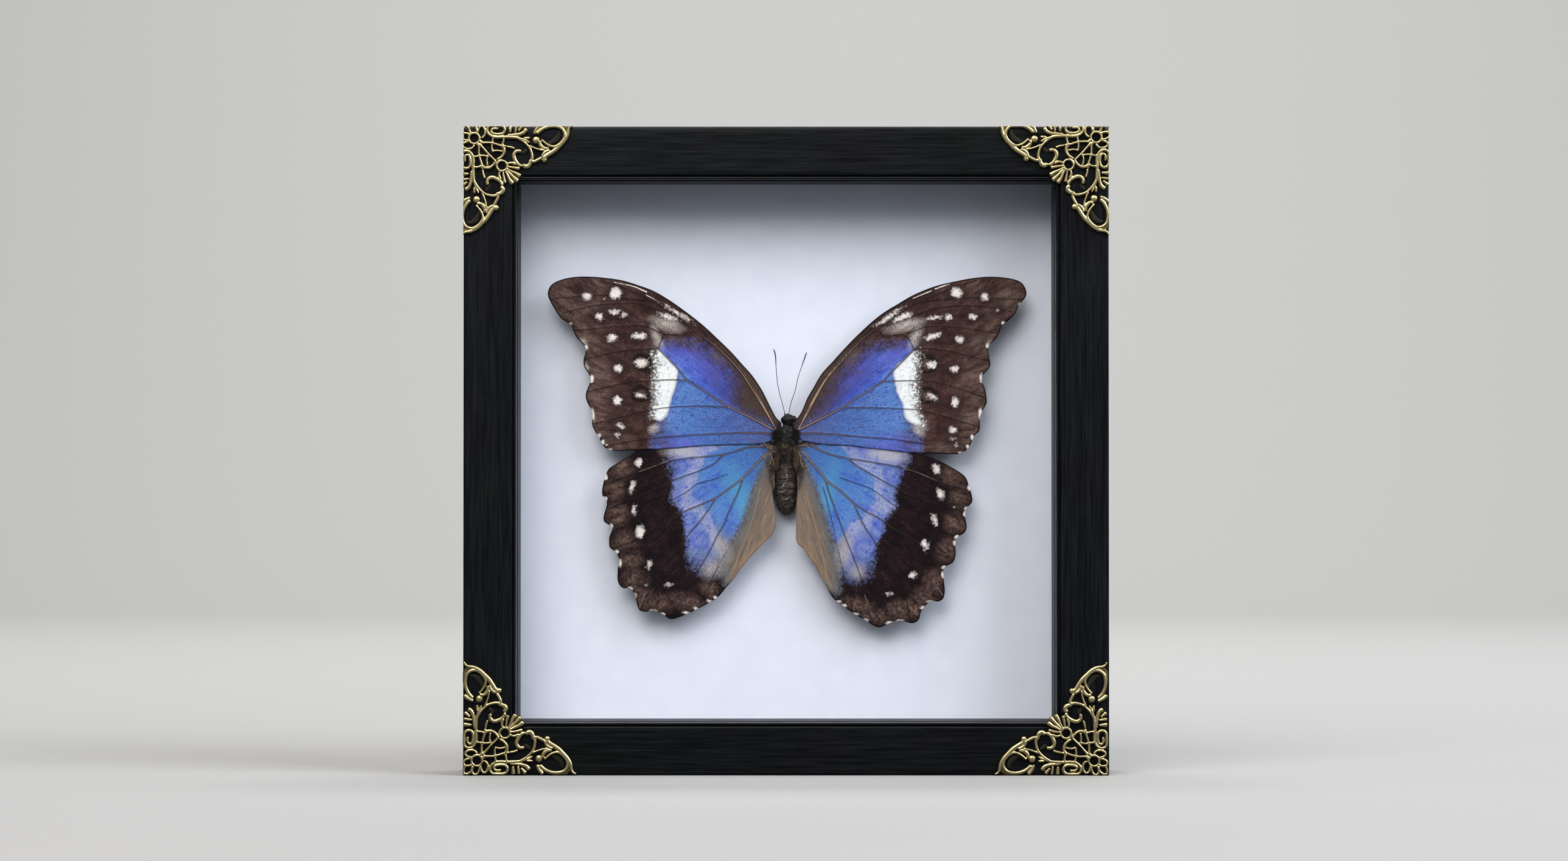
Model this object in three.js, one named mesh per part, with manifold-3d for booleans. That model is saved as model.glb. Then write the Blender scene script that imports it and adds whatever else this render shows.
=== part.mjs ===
// A framed butterfly specimen: a black wooden shadow box with brass filigree corners,
// a glass pane, and a large blue butterfly set on a white card.
// Units are millimetres. X runs to the right, Y runs to the back, and +Z is up.
// The origin is the middle of the base, halfway through the depth.
import * as THREE from 'three';
import { mergeVertices } from 'three/addons/utils/BufferGeometryUtils.js';
import Module from 'manifold-3d';

// ---------- Driving dimensions ----------
const FRAME_WIDTH = 180;
const FRAME_HEIGHT = 181;
const FRAME_DEPTH = 28;
const FACE_WIDTH = 13.6; // flat front face of a rail, from its outer edge to the sight groove
const RAIL_WIDTH = 14.7; // outer edge to sight edge
const LIP_DEPTH = 4; // wood left in front of the glass
const RABBET_INSET = 11; // outer edge to the rabbet wall
const EDGE_ROUNDING = 0.5;
const MITRE_GAP = 0.1;
const FIT_GAP = 0.3; // between parts that are laid against each other

const GLASS_THICKNESS = 2;
const CARD_DEPTH = 20; // front face of the frame to the front face of the card
const CARD_THICKNESS = 1;
const BACK_THICKNESS = 3;
const SPACER_WIDTH = 3.6;

const TAB_LENGTH = 8;
const TAB_REACH = 9.4;
const TAB_THICKNESS = 0.5;
const TAB_SLOT_DEPTH = 3;
const TAB_SPREAD = 42; // from the middle of a rail to each of its two tabs

const HANGER_LENGTH = 44;
const HANGER_HEIGHT = 7.6;
const HANGER_THICKNESS = 0.8;
const HANGER_PROUD = 1.2; // overall, and equal to the ornaments, so the depth stays centred
const NAIL_RADIUS = 0.6;

const ORNAMENT_THICKNESS = 1.2;
const ORNAMENT_CLEARANCE = 0.05; // between an ornament's back and the painted wood

const WING_THICKNESS = 0.4;
const FOREWING_DEPTH = 14; // front face of the frame to the top of a forewing
const HINDWING_DEPTH = 14.8;
const WING_SAMPLES = 2; // straight steps between two outline points
const HINGE_HEIGHT = 95.5; // base of the frame to the wing hinges

// ---------- Derived ----------
const FRONT = -FRAME_DEPTH / 2;
const BACK = FRAME_DEPTH / 2;
const GLASS_FRONT = FRONT + LIP_DEPTH + FIT_GAP;
const GLASS_BACK = GLASS_FRONT + GLASS_THICKNESS;
const CARD_FRONT = FRONT + CARD_DEPTH;
const PANEL_FRONT = CARD_FRONT + CARD_THICKNESS + FIT_GAP;
const TAB_FRONT = PANEL_FRONT + BACK_THICKNESS + FIT_GAP;
const RABBET_WIDTH = FRAME_WIDTH - 2 * RABBET_INSET;
const RABBET_HEIGHT = FRAME_HEIGHT - 2 * RABBET_INSET;
const SHEET_WIDTH = RABBET_WIDTH - 2 * FIT_GAP;
const SHEET_HEIGHT = RABBET_HEIGHT - 2 * FIT_GAP;
const MIDDLE_HEIGHT = FRAME_HEIGHT / 2;

const group = new THREE.Group();
const wasm = await Module();
wasm.setup();

// ---------- Finishes ----------
const finish = (color, roughness, metalness = 0) => ({ color, roughness, metalness });
const BLACK_WOOD = finish(0x17181b, 0.55);
const GLASS = finish(0xe8f0f2, 0.05);
const BLACK_STRIP = finish(0x2b2d33, 0.7);
const WHITE_CARD = finish(0xe4e8f4, 0.9);
const HARDBOARD = finish(0x6d4c33, 0.8);
const STEEL = finish(0x9a9da1, 0.35, 1);
const ANTIQUE_BRASS = finish(0xb39a5c, 0.4, 1);
const CHITIN = finish(0x241c19, 0.6);
const WING_SCALES = finish(0x3f66b4, 0.6);
const ANTENNA_BLACK = finish(0x15120f, 0.5);

/** Adds a named mesh with its own material to the group. */
function addMesh(name, geometry, look) {
  const mesh = new THREE.Mesh(geometry, new THREE.MeshStandardMaterial(look));
  mesh.name = name;
  group.add(mesh);
  return mesh;
}

// ---------- Solids ----------

/** Turns a closed geometry into a solid that can be joined and cut. */
function toSolid(geometry) {
  const bare = new THREE.BufferGeometry();
  bare.setAttribute('position', geometry.getAttribute('position').clone());
  if (geometry.index) bare.setIndex(geometry.index.clone());
  const merged = mergeVertices(bare, 1e-4);
  return new wasm.Manifold(new wasm.Mesh({
    numProp: 3,
    vertProperties: new Float32Array(merged.getAttribute('position').array),
    triVerts: new Uint32Array(merged.index.array),
  }));
}

/** Turns a solid back into a geometry. */
function toGeometry(solid) {
  const mesh = solid.getMesh();
  const geometry = new THREE.BufferGeometry();
  geometry.setAttribute('position', new THREE.BufferAttribute(new Float32Array(mesh.vertProperties), 3));
  geometry.setIndex(new THREE.BufferAttribute(new Uint32Array(mesh.triVerts), 1));
  geometry.computeVertexNormals();
  return geometry;
}

/** A box given by the ranges that it covers along X, Y and Z. */
function boxBetween([x0, x1], [y0, y1], [z0, z1]) {
  const box = new THREE.BoxGeometry(x1 - x0, y1 - y0, z1 - z0);
  return box.translate((x0 + x1) / 2, (y0 + y1) / 2, (z0 + z1) / 2);
}

/** A flat plate parallel to the front face: its outline is in X and Z, its front face is at the depth y. */
function plate(outline, y, thickness, holes = []) {
  const corners = outline.map(([x, z]) => new THREE.Vector2(x, z));
  if (THREE.ShapeUtils.isClockWise(corners)) corners.reverse();
  const shape = new THREE.Shape(corners);
  for (const hole of holes) shape.holes.push(new THREE.Path(hole.map(([x, z]) => new THREE.Vector2(x, z))));
  const body = new THREE.ExtrudeGeometry(shape, { depth: thickness, bevelEnabled: false, steps: 1 });
  return body.rotateX(Math.PI / 2).translate(0, y + thickness, 0);
}

/** Points of a smooth closed curve through the given outline points. */
function smoothOutline(points, samples) {
  const knots = points.map(([x, z]) => new THREE.Vector3(x, z, 0));
  const curve = new THREE.CatmullRomCurve3(knots, true, 'centripetal');
  return curve.getPoints(points.length * samples).slice(0, -1).map((p) => [p.x, p.y]);
}

/** Points of an ellipse, turned by an angle in degrees. */
function ellipse(centreX, centreZ, radiusX, radiusZ, turn = 0, steps = 18) {
  const angle = THREE.MathUtils.degToRad(turn);
  return Array.from({ length: steps }, (_, i) => {
    const a = (i / steps) * 2 * Math.PI;
    const x = radiusX * Math.cos(a);
    const z = radiusZ * Math.sin(a);
    return [
      centreX + x * Math.cos(angle) - z * Math.sin(angle),
      centreZ + x * Math.sin(angle) + z * Math.cos(angle),
    ];
  });
}

// ---------- The four rails ----------

// Section of a rail: distance in from the outer edge, distance back from the front face.
const SIGHT_GROOVE = 0.9;
const RAIL_SECTION = [
  [0, EDGE_ROUNDING], [0.15, 0.15], [EDGE_ROUNDING, 0],
  [FACE_WIDTH - 0.25, 0], [FACE_WIDTH, 0.25], [FACE_WIDTH + 0.1, SIGHT_GROOVE],
  [FACE_WIDTH + 0.4, SIGHT_GROOVE], [FACE_WIDTH + 0.5, 0.45], [FACE_WIDTH + 0.75, 0.3],
  [RAIL_WIDTH, 0.6], [RAIL_WIDTH, LIP_DEPTH],
  [RABBET_INSET, LIP_DEPTH], [RABBET_INSET, FRAME_DEPTH], [0, FRAME_DEPTH],
];

/** A rail whose ends are cut at 45 degrees: toPoint places a section point at one end, -1 or 1. */
function mitredRail(toPoint) {
  const count = RAIL_SECTION.length;
  const section = RAIL_SECTION.map(([inset, depth]) => new THREE.Vector2(inset, depth));
  const cap = THREE.ShapeUtils.triangulateShape(section, []);
  const positions = [];
  for (const end of [-1, 1]) {
    for (const [inset, depth] of RAIL_SECTION) positions.push(...toPoint(inset, depth, end));
  }
  const faces = [];
  for (const [a, b, c] of cap) faces.push([a, b, c], [a + count, c + count, b + count]);
  for (let i = 0; i < count; i += 1) {
    const j = (i + 1) % count;
    faces.push([i, i + count, j], [j, i + count, j + count]);
  }
  const geometry = new THREE.BufferGeometry();
  geometry.setAttribute('position', new THREE.BufferAttribute(new Float32Array(positions), 3));
  geometry.setIndex(faces.flat());
  return isInsideOut(geometry) ? flipped(geometry) : geometry;
}

/** True when the faces of a closed geometry point inwards, from the sign of its volume. */
function isInsideOut(geometry) {
  const position = geometry.getAttribute('position');
  const corner = (i) => new THREE.Vector3().fromBufferAttribute(position, geometry.index.getX(i));
  let volume = 0;
  for (let i = 0; i < geometry.index.count; i += 3) {
    volume += corner(i).dot(corner(i + 1).cross(corner(i + 2)));
  }
  return volume < 0;
}

/** The same geometry with every face turned round. */
function flipped(geometry) {
  const index = Array.from(geometry.index.array);
  for (let i = 0; i < index.length; i += 3) [index[i + 1], index[i + 2]] = [index[i + 2], index[i + 1]];
  geometry.setIndex(index);
  return geometry;
}

const halfRun = (length, inset) => length / 2 - inset - MITRE_GAP;
const RAILS = {
  rail_bottom: (inset, depth, end) => [end * halfRun(FRAME_WIDTH, inset), FRONT + depth, inset],
  rail_top: (inset, depth, end) => [end * halfRun(FRAME_WIDTH, inset), FRONT + depth, FRAME_HEIGHT - inset],
  rail_left: (inset, depth, end) => [
    -FRAME_WIDTH / 2 + inset, FRONT + depth, MIDDLE_HEIGHT + end * halfRun(FRAME_HEIGHT, inset)],
  rail_right: (inset, depth, end) => [
    FRAME_WIDTH / 2 - inset, FRONT + depth, MIDDLE_HEIGHT + end * halfRun(FRAME_HEIGHT, inset)],
};

// ---------- Tabs that hold the back in ----------

/** The box of a tab, or of its slot when grown: side is the rail, along is the place on it. */
function tabBox(side, along, grow, reachOut, reachIn) {
  const depth = [TAB_FRONT - grow, TAB_FRONT + TAB_THICKNESS + grow];
  const width = [along - TAB_LENGTH / 2 - grow, along + TAB_LENGTH / 2 + grow];
  const from = RABBET_INSET - reachOut;
  const to = RABBET_INSET + reachIn;
  if (side === 'bottom') return boxBetween(width, depth, [from, to]);
  if (side === 'top') return boxBetween(width, depth, [FRAME_HEIGHT - to, FRAME_HEIGHT - from]);
  const height = width.map((v) => v + MIDDLE_HEIGHT);
  if (side === 'left') return boxBetween([-FRAME_WIDTH / 2 + from, -FRAME_WIDTH / 2 + to], depth, height);
  return boxBetween([FRAME_WIDTH / 2 - to, FRAME_WIDTH / 2 - from], depth, height);
}

const SIDES = ['bottom', 'top', 'left', 'right'];
const HANGER_NAILS = [-HANGER_LENGTH / 2 + 3, HANGER_LENGTH / 2 - 3];
const HANGER_MIDDLE_HEIGHT = FRAME_HEIGHT - RABBET_INSET / 2;
const NAIL_REACH = 7; // shank length inside the wood

/** A cylinder along Y at (x, z), from depth y0 to y1. */
function pegAlongY(x, z, radius, y0, y1, sides = 12) {
  return new THREE.CylinderGeometry(radius, radius, y1 - y0, sides).translate(x, (y0 + y1) / 2, z);
}

for (const side of SIDES) {
  let solid = toSolid(mitredRail(RAILS[`rail_${side}`]));
  for (const along of [-TAB_SPREAD, TAB_SPREAD]) {
    solid = solid.subtract(toSolid(tabBox(side, along, FIT_GAP, TAB_SLOT_DEPTH, 1)));
  }
  if (side === 'top') {
    for (const x of HANGER_NAILS) {
      const deepest = BACK - NAIL_REACH - FIT_GAP;
      const hole = pegAlongY(x, HANGER_MIDDLE_HEIGHT, NAIL_RADIUS + FIT_GAP, deepest, BACK + 1);
      solid = solid.subtract(toSolid(hole));
    }
  }
  addMesh(`rail_${side}`, toGeometry(solid), BLACK_WOOD);
}
for (const side of SIDES) {
  for (const [label, along] of [['a', -TAB_SPREAD], ['b', TAB_SPREAD]]) {
    addMesh(`tab_${side}_${label}`, tabBox(side, along, 0, TAB_SLOT_DEPTH - FIT_GAP, TAB_REACH), STEEL);
  }
}

// ---------- Glass, spacers, card and back ----------

const acrossSheet = [-SHEET_WIDTH / 2, SHEET_WIDTH / 2];
const upSheet = [MIDDLE_HEIGHT - SHEET_HEIGHT / 2, MIDDLE_HEIGHT + SHEET_HEIGHT / 2];
addMesh('glass_pane', boxBetween(acrossSheet, [GLASS_FRONT, GLASS_BACK], upSheet), GLASS);
const cardDepth = [CARD_FRONT, CARD_FRONT + CARD_THICKNESS];
addMesh('backing_card', boxBetween(acrossSheet, cardDepth, upSheet), WHITE_CARD);
const panelDepth = [PANEL_FRONT, PANEL_FRONT + BACK_THICKNESS];
addMesh('back_panel', boxBetween(acrossSheet, panelDepth, upSheet), HARDBOARD);

const spacerDepth = [GLASS_BACK + FIT_GAP, CARD_FRONT - FIT_GAP];
const spacerInnerHeight = [upSheet[0] + SPACER_WIDTH + FIT_GAP, upSheet[1] - SPACER_WIDTH - FIT_GAP];
const SPACERS = {
  spacer_bottom: [acrossSheet, [upSheet[0], upSheet[0] + SPACER_WIDTH]],
  spacer_top: [acrossSheet, [upSheet[1] - SPACER_WIDTH, upSheet[1]]],
  spacer_left: [[acrossSheet[0], acrossSheet[0] + SPACER_WIDTH], spacerInnerHeight],
  spacer_right: [[acrossSheet[1] - SPACER_WIDTH, acrossSheet[1]], spacerInnerHeight],
};
for (const [name, [across, up]] of Object.entries(SPACERS)) {
  addMesh(name, boxBetween(across, spacerDepth, up), BLACK_STRIP);
}

// ---------- Sawtooth hanger ----------

const HANGER_TEETH = 9;
const TOOTH_PITCH = 3.2;
const TOOTH_DEPTH = 1.3;
const hangerTop = HANGER_MIDDLE_HEIGHT + HANGER_HEIGHT / 2;
const hangerBottom = HANGER_MIDDLE_HEIGHT - HANGER_HEIGHT / 2;
const teethHalf = (HANGER_TEETH * TOOTH_PITCH) / 2;
const hangerOutline = [
  [-HANGER_LENGTH / 2, hangerBottom],
  [-teethHalf - 2, hangerBottom],
  [-teethHalf, hangerBottom + 2],
];
for (let i = 0; i < HANGER_TEETH; i += 1) {
  const x = -teethHalf + i * TOOTH_PITCH;
  hangerOutline.push([x + TOOTH_PITCH / 2, hangerBottom + 2 + TOOTH_DEPTH]);
  hangerOutline.push([x + TOOTH_PITCH, hangerBottom + 2]);
}
hangerOutline.push(
  [teethHalf + 2, hangerBottom], [HANGER_LENGTH / 2, hangerBottom],
  [HANGER_LENGTH / 2, hangerTop], [-HANGER_LENGTH / 2, hangerTop],
);
const hangerHoles = HANGER_NAILS.map((x) => (
  ellipse(x, HANGER_MIDDLE_HEIGHT, NAIL_RADIUS + FIT_GAP, NAIL_RADIUS + FIT_GAP, 0, 12)));
const hangerFront = BACK + ORNAMENT_CLEARANCE;
addMesh('hanger_plate', plate(hangerOutline, hangerFront, HANGER_THICKNESS, hangerHoles), STEEL);
HANGER_NAILS.forEach((x, i) => {
  const headFront = hangerFront + HANGER_THICKNESS + ORNAMENT_CLEARANCE;
  const shank = toSolid(
    pegAlongY(x, HANGER_MIDDLE_HEIGHT, NAIL_RADIUS, BACK - NAIL_REACH, headFront + 0.1),
  );
  const head = toSolid(pegAlongY(x, HANGER_MIDDLE_HEIGHT, 1.7, headFront, BACK + HANGER_PROUD, 16));
  addMesh(`hanger_nail_${i === 0 ? 'left' : 'right'}`, toGeometry(shank.add(head)), STEEL);
});

// ---------- Filigree corners ----------

// One corner, drawn for the lower left: distances along the two frame edges from the corner.
// The outline is given for the leg along the bottom edge and mirrored on the diagonal.
const ORNAMENT_LEG = [
  [0.5, 0.5], [6.6, 0.4], [12.4, 0.3], [17.6, 0.4], [22.6, 0.3], [27, 0.2], [31.7, 0.2],
  [31, 1.2], [29.8, 3.6], [28.2, 5.4], [26, 7], [24.4, 8.4], [24.2, 10], [22.9, 10.4], [21.6, 10.4],
  [20.2, 10.8], [19.4, 12.4], [17.6, 12.3], [16.6, 12.8],
];
const ORNAMENT_FAN = [[16.4, 15.2], [15.4, 15.4]];
const ORNAMENT_HOLES = [
  ellipse(3.9, 4.1, 1.1, 1.1),
  ellipse(11.8, 11.8, 1.1, 1.1),
  ellipse(25.4, 3.3, 2.6, 1.6, 5),
  ellipse(17.7, 9.4, 1.5, 1.5),
  ellipse(15.2, 6, 3, 1.1, 8, 14),
];
const mirrored = (points) => points.map(([u, v]) => [v, u]).reverse();
const ornamentOutline = [
  ...ORNAMENT_LEG,
  ...ORNAMENT_FAN,
  ...mirrored(ORNAMENT_FAN),
  ...mirrored(ORNAMENT_LEG.slice(1)),
];
const ornamentHoles = [...ORNAMENT_HOLES, ...ORNAMENT_HOLES.slice(2).map(mirrored)];

const ORNAMENT_BASE = 0.2; // keeps the lower corners clear of what the frame stands on
const CORNERS = { bottom_left: [1, 1], bottom_right: [-1, 1], top_left: [1, -1], top_right: [-1, -1] };
for (const [corner, [sideX, sideZ]] of Object.entries(CORNERS)) {
  const place = ([u, v]) => [
    sideX * (u - FRAME_WIDTH / 2 + ORNAMENT_BASE),
    sideZ > 0 ? v + ORNAMENT_BASE : FRAME_HEIGHT - v - ORNAMENT_BASE,
  ];
  const y = FRONT - ORNAMENT_CLEARANCE - (ORNAMENT_THICKNESS - ORNAMENT_CLEARANCE);
  const holes = ornamentHoles.map((hole) => hole.map(place));
  const body = plate(ornamentOutline.map(place), y, ORNAMENT_THICKNESS - ORNAMENT_CLEARANCE, holes);
  addMesh(`corner_ornament_${corner}`, body, ANTIQUE_BRASS);
}

// ---------- Butterfly ----------

// Wing outlines seen from the front: [across, up] from the middle of the wing hinges.
const FOREWING_LEFT = [
  [-1.3, 2.7], [-2.7, 4.3], [-4.5, 7.6], [-6.7, 12], [-9.7, 16.5], [-12.3, 19.4], [-15.5, 23],
  [-19, 26.4], [-22.6, 29.8], [-26, 32.6], [-29.6, 35.3], [-33.4, 37.9], [-37.4, 40.2], [-41.4, 41.7],
  [-45.9, 43.1], [-50.4, 43.8], [-54.8, 44.2], [-58.5, 44.2], [-62.2, 43.7], [-64.8, 42.8], [-66.3, 41.8],
  [-67, 40.5], [-67.2, 39], [-66.7, 37.6], [-65.2, 34.9], [-63.3, 32.3], [-60.6, 30.5], [-60, 29],
  [-59.2, 27.2], [-57.8, 25.6], [-56.7, 24.4], [-56.5, 23.2], [-57, 21.3], [-57.1, 19.6], [-56.7, 18.3],
  [-55.2, 15.9], [-55.3, 14.2], [-56.1, 12.4], [-56.5, 10.5], [-56.1, 8.8], [-54.7, 6], [-54.7, 3.9],
  [-54.6, 2.1], [-53.7, 0.3], [-52.9, -0.8], [-52.1, -2.4], [-51.3, -3.8], [-50, -4.6], [-48.1, -5],
  [-44.9, -4.9], [-40.1, -4.7], [-35.6, -4.4], [-30, -4], [-24.5, -3.5], [-19, -3.3], [-13.3, -3.1],
  [-5.9, -2.7], [-2.8, -1],
];
const FOREWING_RIGHT = [
  [1.6, 3.0], [3.2, 4.4], [4.5, 6.4], [5.9, 9.8], [7.8, 13.1], [10, 16.8], [12.6, 19.7], [15.5, 22.9],
  [18.5, 26.1], [21.9, 29.4], [24.8, 32], [27.7, 34.2], [31.5, 36.5], [35.2, 38.7], [39.2, 40.5],
  [43.3, 41.9], [47.8, 42.9], [52.6, 43.8], [57.4, 44.2], [61.9, 43.9], [65.1, 43.2], [66.7, 42.2],
  [67.5, 40.8], [67.8, 39.4], [67.2, 37.9], [65.7, 36.3], [64.4, 33.5], [61.7, 31.1], [60.9, 30.5],
  [60.3, 29], [59.6, 27.4], [58.2, 25.7], [57.3, 25], [57, 23.5], [57.2, 21.6], [57.6, 19.7],
  [57.2, 18.3], [55.2, 15.9], [55.3, 14.6], [56.1, 12.5], [56.5, 10.1], [56.5, 8.5], [54.9, 5.3],
  [54.6, 3.4], [54.6, 1.6], [54.2, 0.3], [53.3, -0.4], [52.4, -2.1], [51.7, -3.6], [50.7, -4.8],
  [49.4, -5.7], [47, -5.9], [43.3, -5.8], [34.1, -5.3], [28.5, -4.7], [22.9, -4.1], [17.4, -3.4],
  [11.8, -3.2], [6.3, -2.4], [3, -1.3],
];
const HINDWING_LEFT = [
  [-3.2, -4.5], [-8.8, -2.7], [-22.6, -2.1], [-36.1, -2.7], [-41.4, -4.3], [-43.9, -6], [-46.5, -7.7],
  [-48.6, -9], [-50, -10], [-51, -12.2], [-51.7, -14.9], [-51.9, -16.4], [-51.7, -17.7], [-51, -18.4],
  [-50.5, -19.6], [-50.7, -20.8], [-51.1, -22.1], [-51.5, -23.9], [-51.1, -25.1], [-49.2, -26.3],
  [-49.2, -27.6], [-49.8, -29.1], [-49.9, -30.5], [-49.7, -32.2], [-48, -33.5], [-47.4, -34.6],
  [-46.9, -36.3], [-47.4, -37.8], [-47.5, -39.5], [-47.5, -41.3], [-47, -42.7], [-45.8, -43.7],
  [-44.1, -43.6], [-42.6, -45.6], [-42.2, -47.3], [-41.9, -48.7], [-41.2, -49.9], [-39.6, -50.3],
  [-37.4, -50], [-34.9, -51], [-32.9, -52.3], [-31.7, -52.3], [-28.1, -51], [-25.7, -49.9],
  [-23.4, -48.7], [-21.4, -47.6], [-19, -46], [-17.1, -43.7], [-15, -41.3], [-13, -38.4], [-10.7, -35.6],
  [-8.4, -33], [-6.1, -30.7], [-4.3, -29.1], [-3.3, -27.4], [-2.9, -24.8], [-2.9, -22.5], [-3.3, -20.8],
  [-3.7, -18.4], [-3.9, -15.3], [-3.4, -11.8], [-3, -8],
];
const HINDWING_RIGHT = [
  [3.5, -4.5], [9.2, -3.1], [22.1, -2.7], [32.3, -3.6], [37.5, -4.6], [40.2, -6.3], [43.1, -7.6],
  [46, -9.2], [48.9, -10.9], [50.6, -12.4], [51.7, -15.3], [52.5, -18.4], [52.3, -19.6], [50.9, -21.1],
  [50.5, -22.6], [50.5, -23.9], [50.9, -25.9], [50.7, -27.4], [49.8, -28.4], [48.3, -29.3], [47.7, -30.9],
  [47.8, -33.7], [47.5, -35.4], [46.8, -36.6], [44.8, -37.7], [44.3, -39.8], [44.7, -43.6], [44.6, -45.6],
  [44.1, -46.8], [42.8, -47.4], [40.8, -47.4], [38.8, -49.1], [37.9, -50.5], [37.5, -52.3], [36.5, -53.3],
  [35, -53.5], [32.3, -52.8], [29.3, -53.5], [26.3, -54.7], [24.6, -54.2], [22.3, -52.7], [19.4, -51.1],
  [16.8, -49.2], [14.5, -47.6], [12.8, -45.9], [11.3, -43.2], [9.9, -40.7], [8.2, -37.5], [6.3, -34.6],
  [5, -32.6], [3.3, -31.1], [2.8, -29.7], [2.9, -25.3], [2.8, -21.3], [3.1, -18.1], [3.2, -13.8],
  [3, -9.4], [3.1, -6.5],
];

// The body's three sections are rows of cross sections, from the tail end to the head end:
// [up from the hinges, across, half width, half thickness, depth of the middle].
const HEAD_SECTIONS = [
  [2.75, 0.5, 1.1, 1.2, 15.9], [3.3, 0.7, 1.95, 1.6, 15.6], [4.2, 0.8, 2.1, 1.7, 15.6],
  [5, 0.6, 1.3, 1.2, 15.7], [5.5, 0.4, 0.5, 0.5, 15.8],
];
const THORAX_SECTIONS = [
  [-7.6, 0, 2.2, 1.9, 16.5], [-6.9, 0, 3, 2.8, 16.2], [-5, 0, 3.3, 3.4, 16], [-2.5, 0, 3.2, 3.7, 15.9],
  [0, 0, 2.8, 3.6, 15.9], [1.6, 0.2, 1.9, 2.8, 15.9], [2.4, 0.4, 1, 1.4, 15.9],
];
const ABDOMEN_SECTIONS = [
  [-22.9, 0.1, 0.6, 0.7, 17.4], [-21.9, 0.1, 1.9, 1.5, 17.2], [-19.8, 0, 2.8, 2.1, 17],
  [-16.5, -0.1, 3.3, 2.5, 16.8], [-12.5, -0.2, 3.4, 2.7, 16.7], [-9.5, -0.1, 3.1, 2.6, 16.5],
  [-8, 0, 2.4, 2.1, 16.5],
];
const BODY_SIDES = 18;

/** A closed skin over a row of elliptical cross sections, optionally grown by a gap. */
function bodySegment(sections, grow = 0) {
  const positions = [];
  for (const [up, across, halfWidth, halfThickness, depth] of sections) {
    for (let i = 0; i < BODY_SIDES; i += 1) {
      const angle = (i / BODY_SIDES) * 2 * Math.PI;
      positions.push(
        across + (halfWidth + grow) * Math.cos(angle),
        FRONT + depth + (halfThickness + grow) * Math.sin(angle),
        HINGE_HEIGHT + up,
      );
    }
  }
  const faces = [];
  for (let row = 0; row < sections.length - 1; row += 1) {
    for (let i = 0; i < BODY_SIDES; i += 1) {
      const next = (i + 1) % BODY_SIDES;
      const [a, b] = [row * BODY_SIDES + i, row * BODY_SIDES + next];
      faces.push([a, b, b + BODY_SIDES], [a, b + BODY_SIDES, a + BODY_SIDES]);
    }
  }
  const last = (sections.length - 1) * BODY_SIDES;
  for (let i = 1; i < BODY_SIDES - 1; i += 1) faces.push([0, i + 1, i], [last, last + i, last + i + 1]);
  const geometry = new THREE.BufferGeometry();
  geometry.setAttribute('position', new THREE.BufferAttribute(new Float32Array(positions), 3));
  geometry.setIndex(faces.flat());
  return isInsideOut(geometry) ? flipped(geometry) : geometry;
}

const BODY_SEGMENTS = {
  butterfly_head: HEAD_SECTIONS, butterfly_thorax: THORAX_SECTIONS, butterfly_abdomen: ABDOMEN_SECTIONS,
};
const bodyClearances = Object.values(BODY_SEGMENTS).map(
  (sections) => toSolid(bodySegment(sections, FIT_GAP)),
);
for (const [name, sections] of Object.entries(BODY_SEGMENTS)) addMesh(name, bodySegment(sections), CHITIN);

const WINGS = {
  forewing_left: [FOREWING_LEFT, FOREWING_DEPTH],
  forewing_right: [FOREWING_RIGHT, FOREWING_DEPTH],
  hindwing_left: [HINDWING_LEFT, HINDWING_DEPTH],
  hindwing_right: [HINDWING_RIGHT, HINDWING_DEPTH],
};

/** The largest of a solid's separate bodies. */
function largestBody(solid) {
  return solid.decompose().reduce((best, piece) => (piece.volume() > best.volume() ? piece : best));
}

for (const [name, [outline, depth]] of Object.entries(WINGS)) {
  const placed = smoothOutline(outline, WING_SAMPLES).map(([x, z]) => [x, z + HINGE_HEIGHT]);
  let wing = toSolid(plate(placed, FRONT + depth, WING_THICKNESS));
  for (const clearance of bodyClearances) wing = wing.subtract(clearance);
  addMesh(name, toGeometry(largestBody(wing)), WING_SCALES);
}

// Each antenna runs from the head to its slightly thickened tip: [across, up] from the hinges.
const ANTENNA_RADIUS = 0.2;
const CLUB_RADIUS = 0.34;
const ANTENNA_DEPTH = 15.2;
const ANTENNAE = {
  antenna_left: [[-0.4, 6.1], [-0.8, 7.4], [-1.8, 11], [-2.5, 14.6], [-2.8, 18.2], [-3, 21.8], [-3.5, 23.8]],
  antenna_right: [[0.8, 6], [1.4, 8.7], [2.5, 11.9], [3.4, 15.9], [4.5, 19.2], [5.8, 22.9]],
};
const ANTENNA_STEPS = 20;
const ANTENNA_SIDES = 8;

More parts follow.
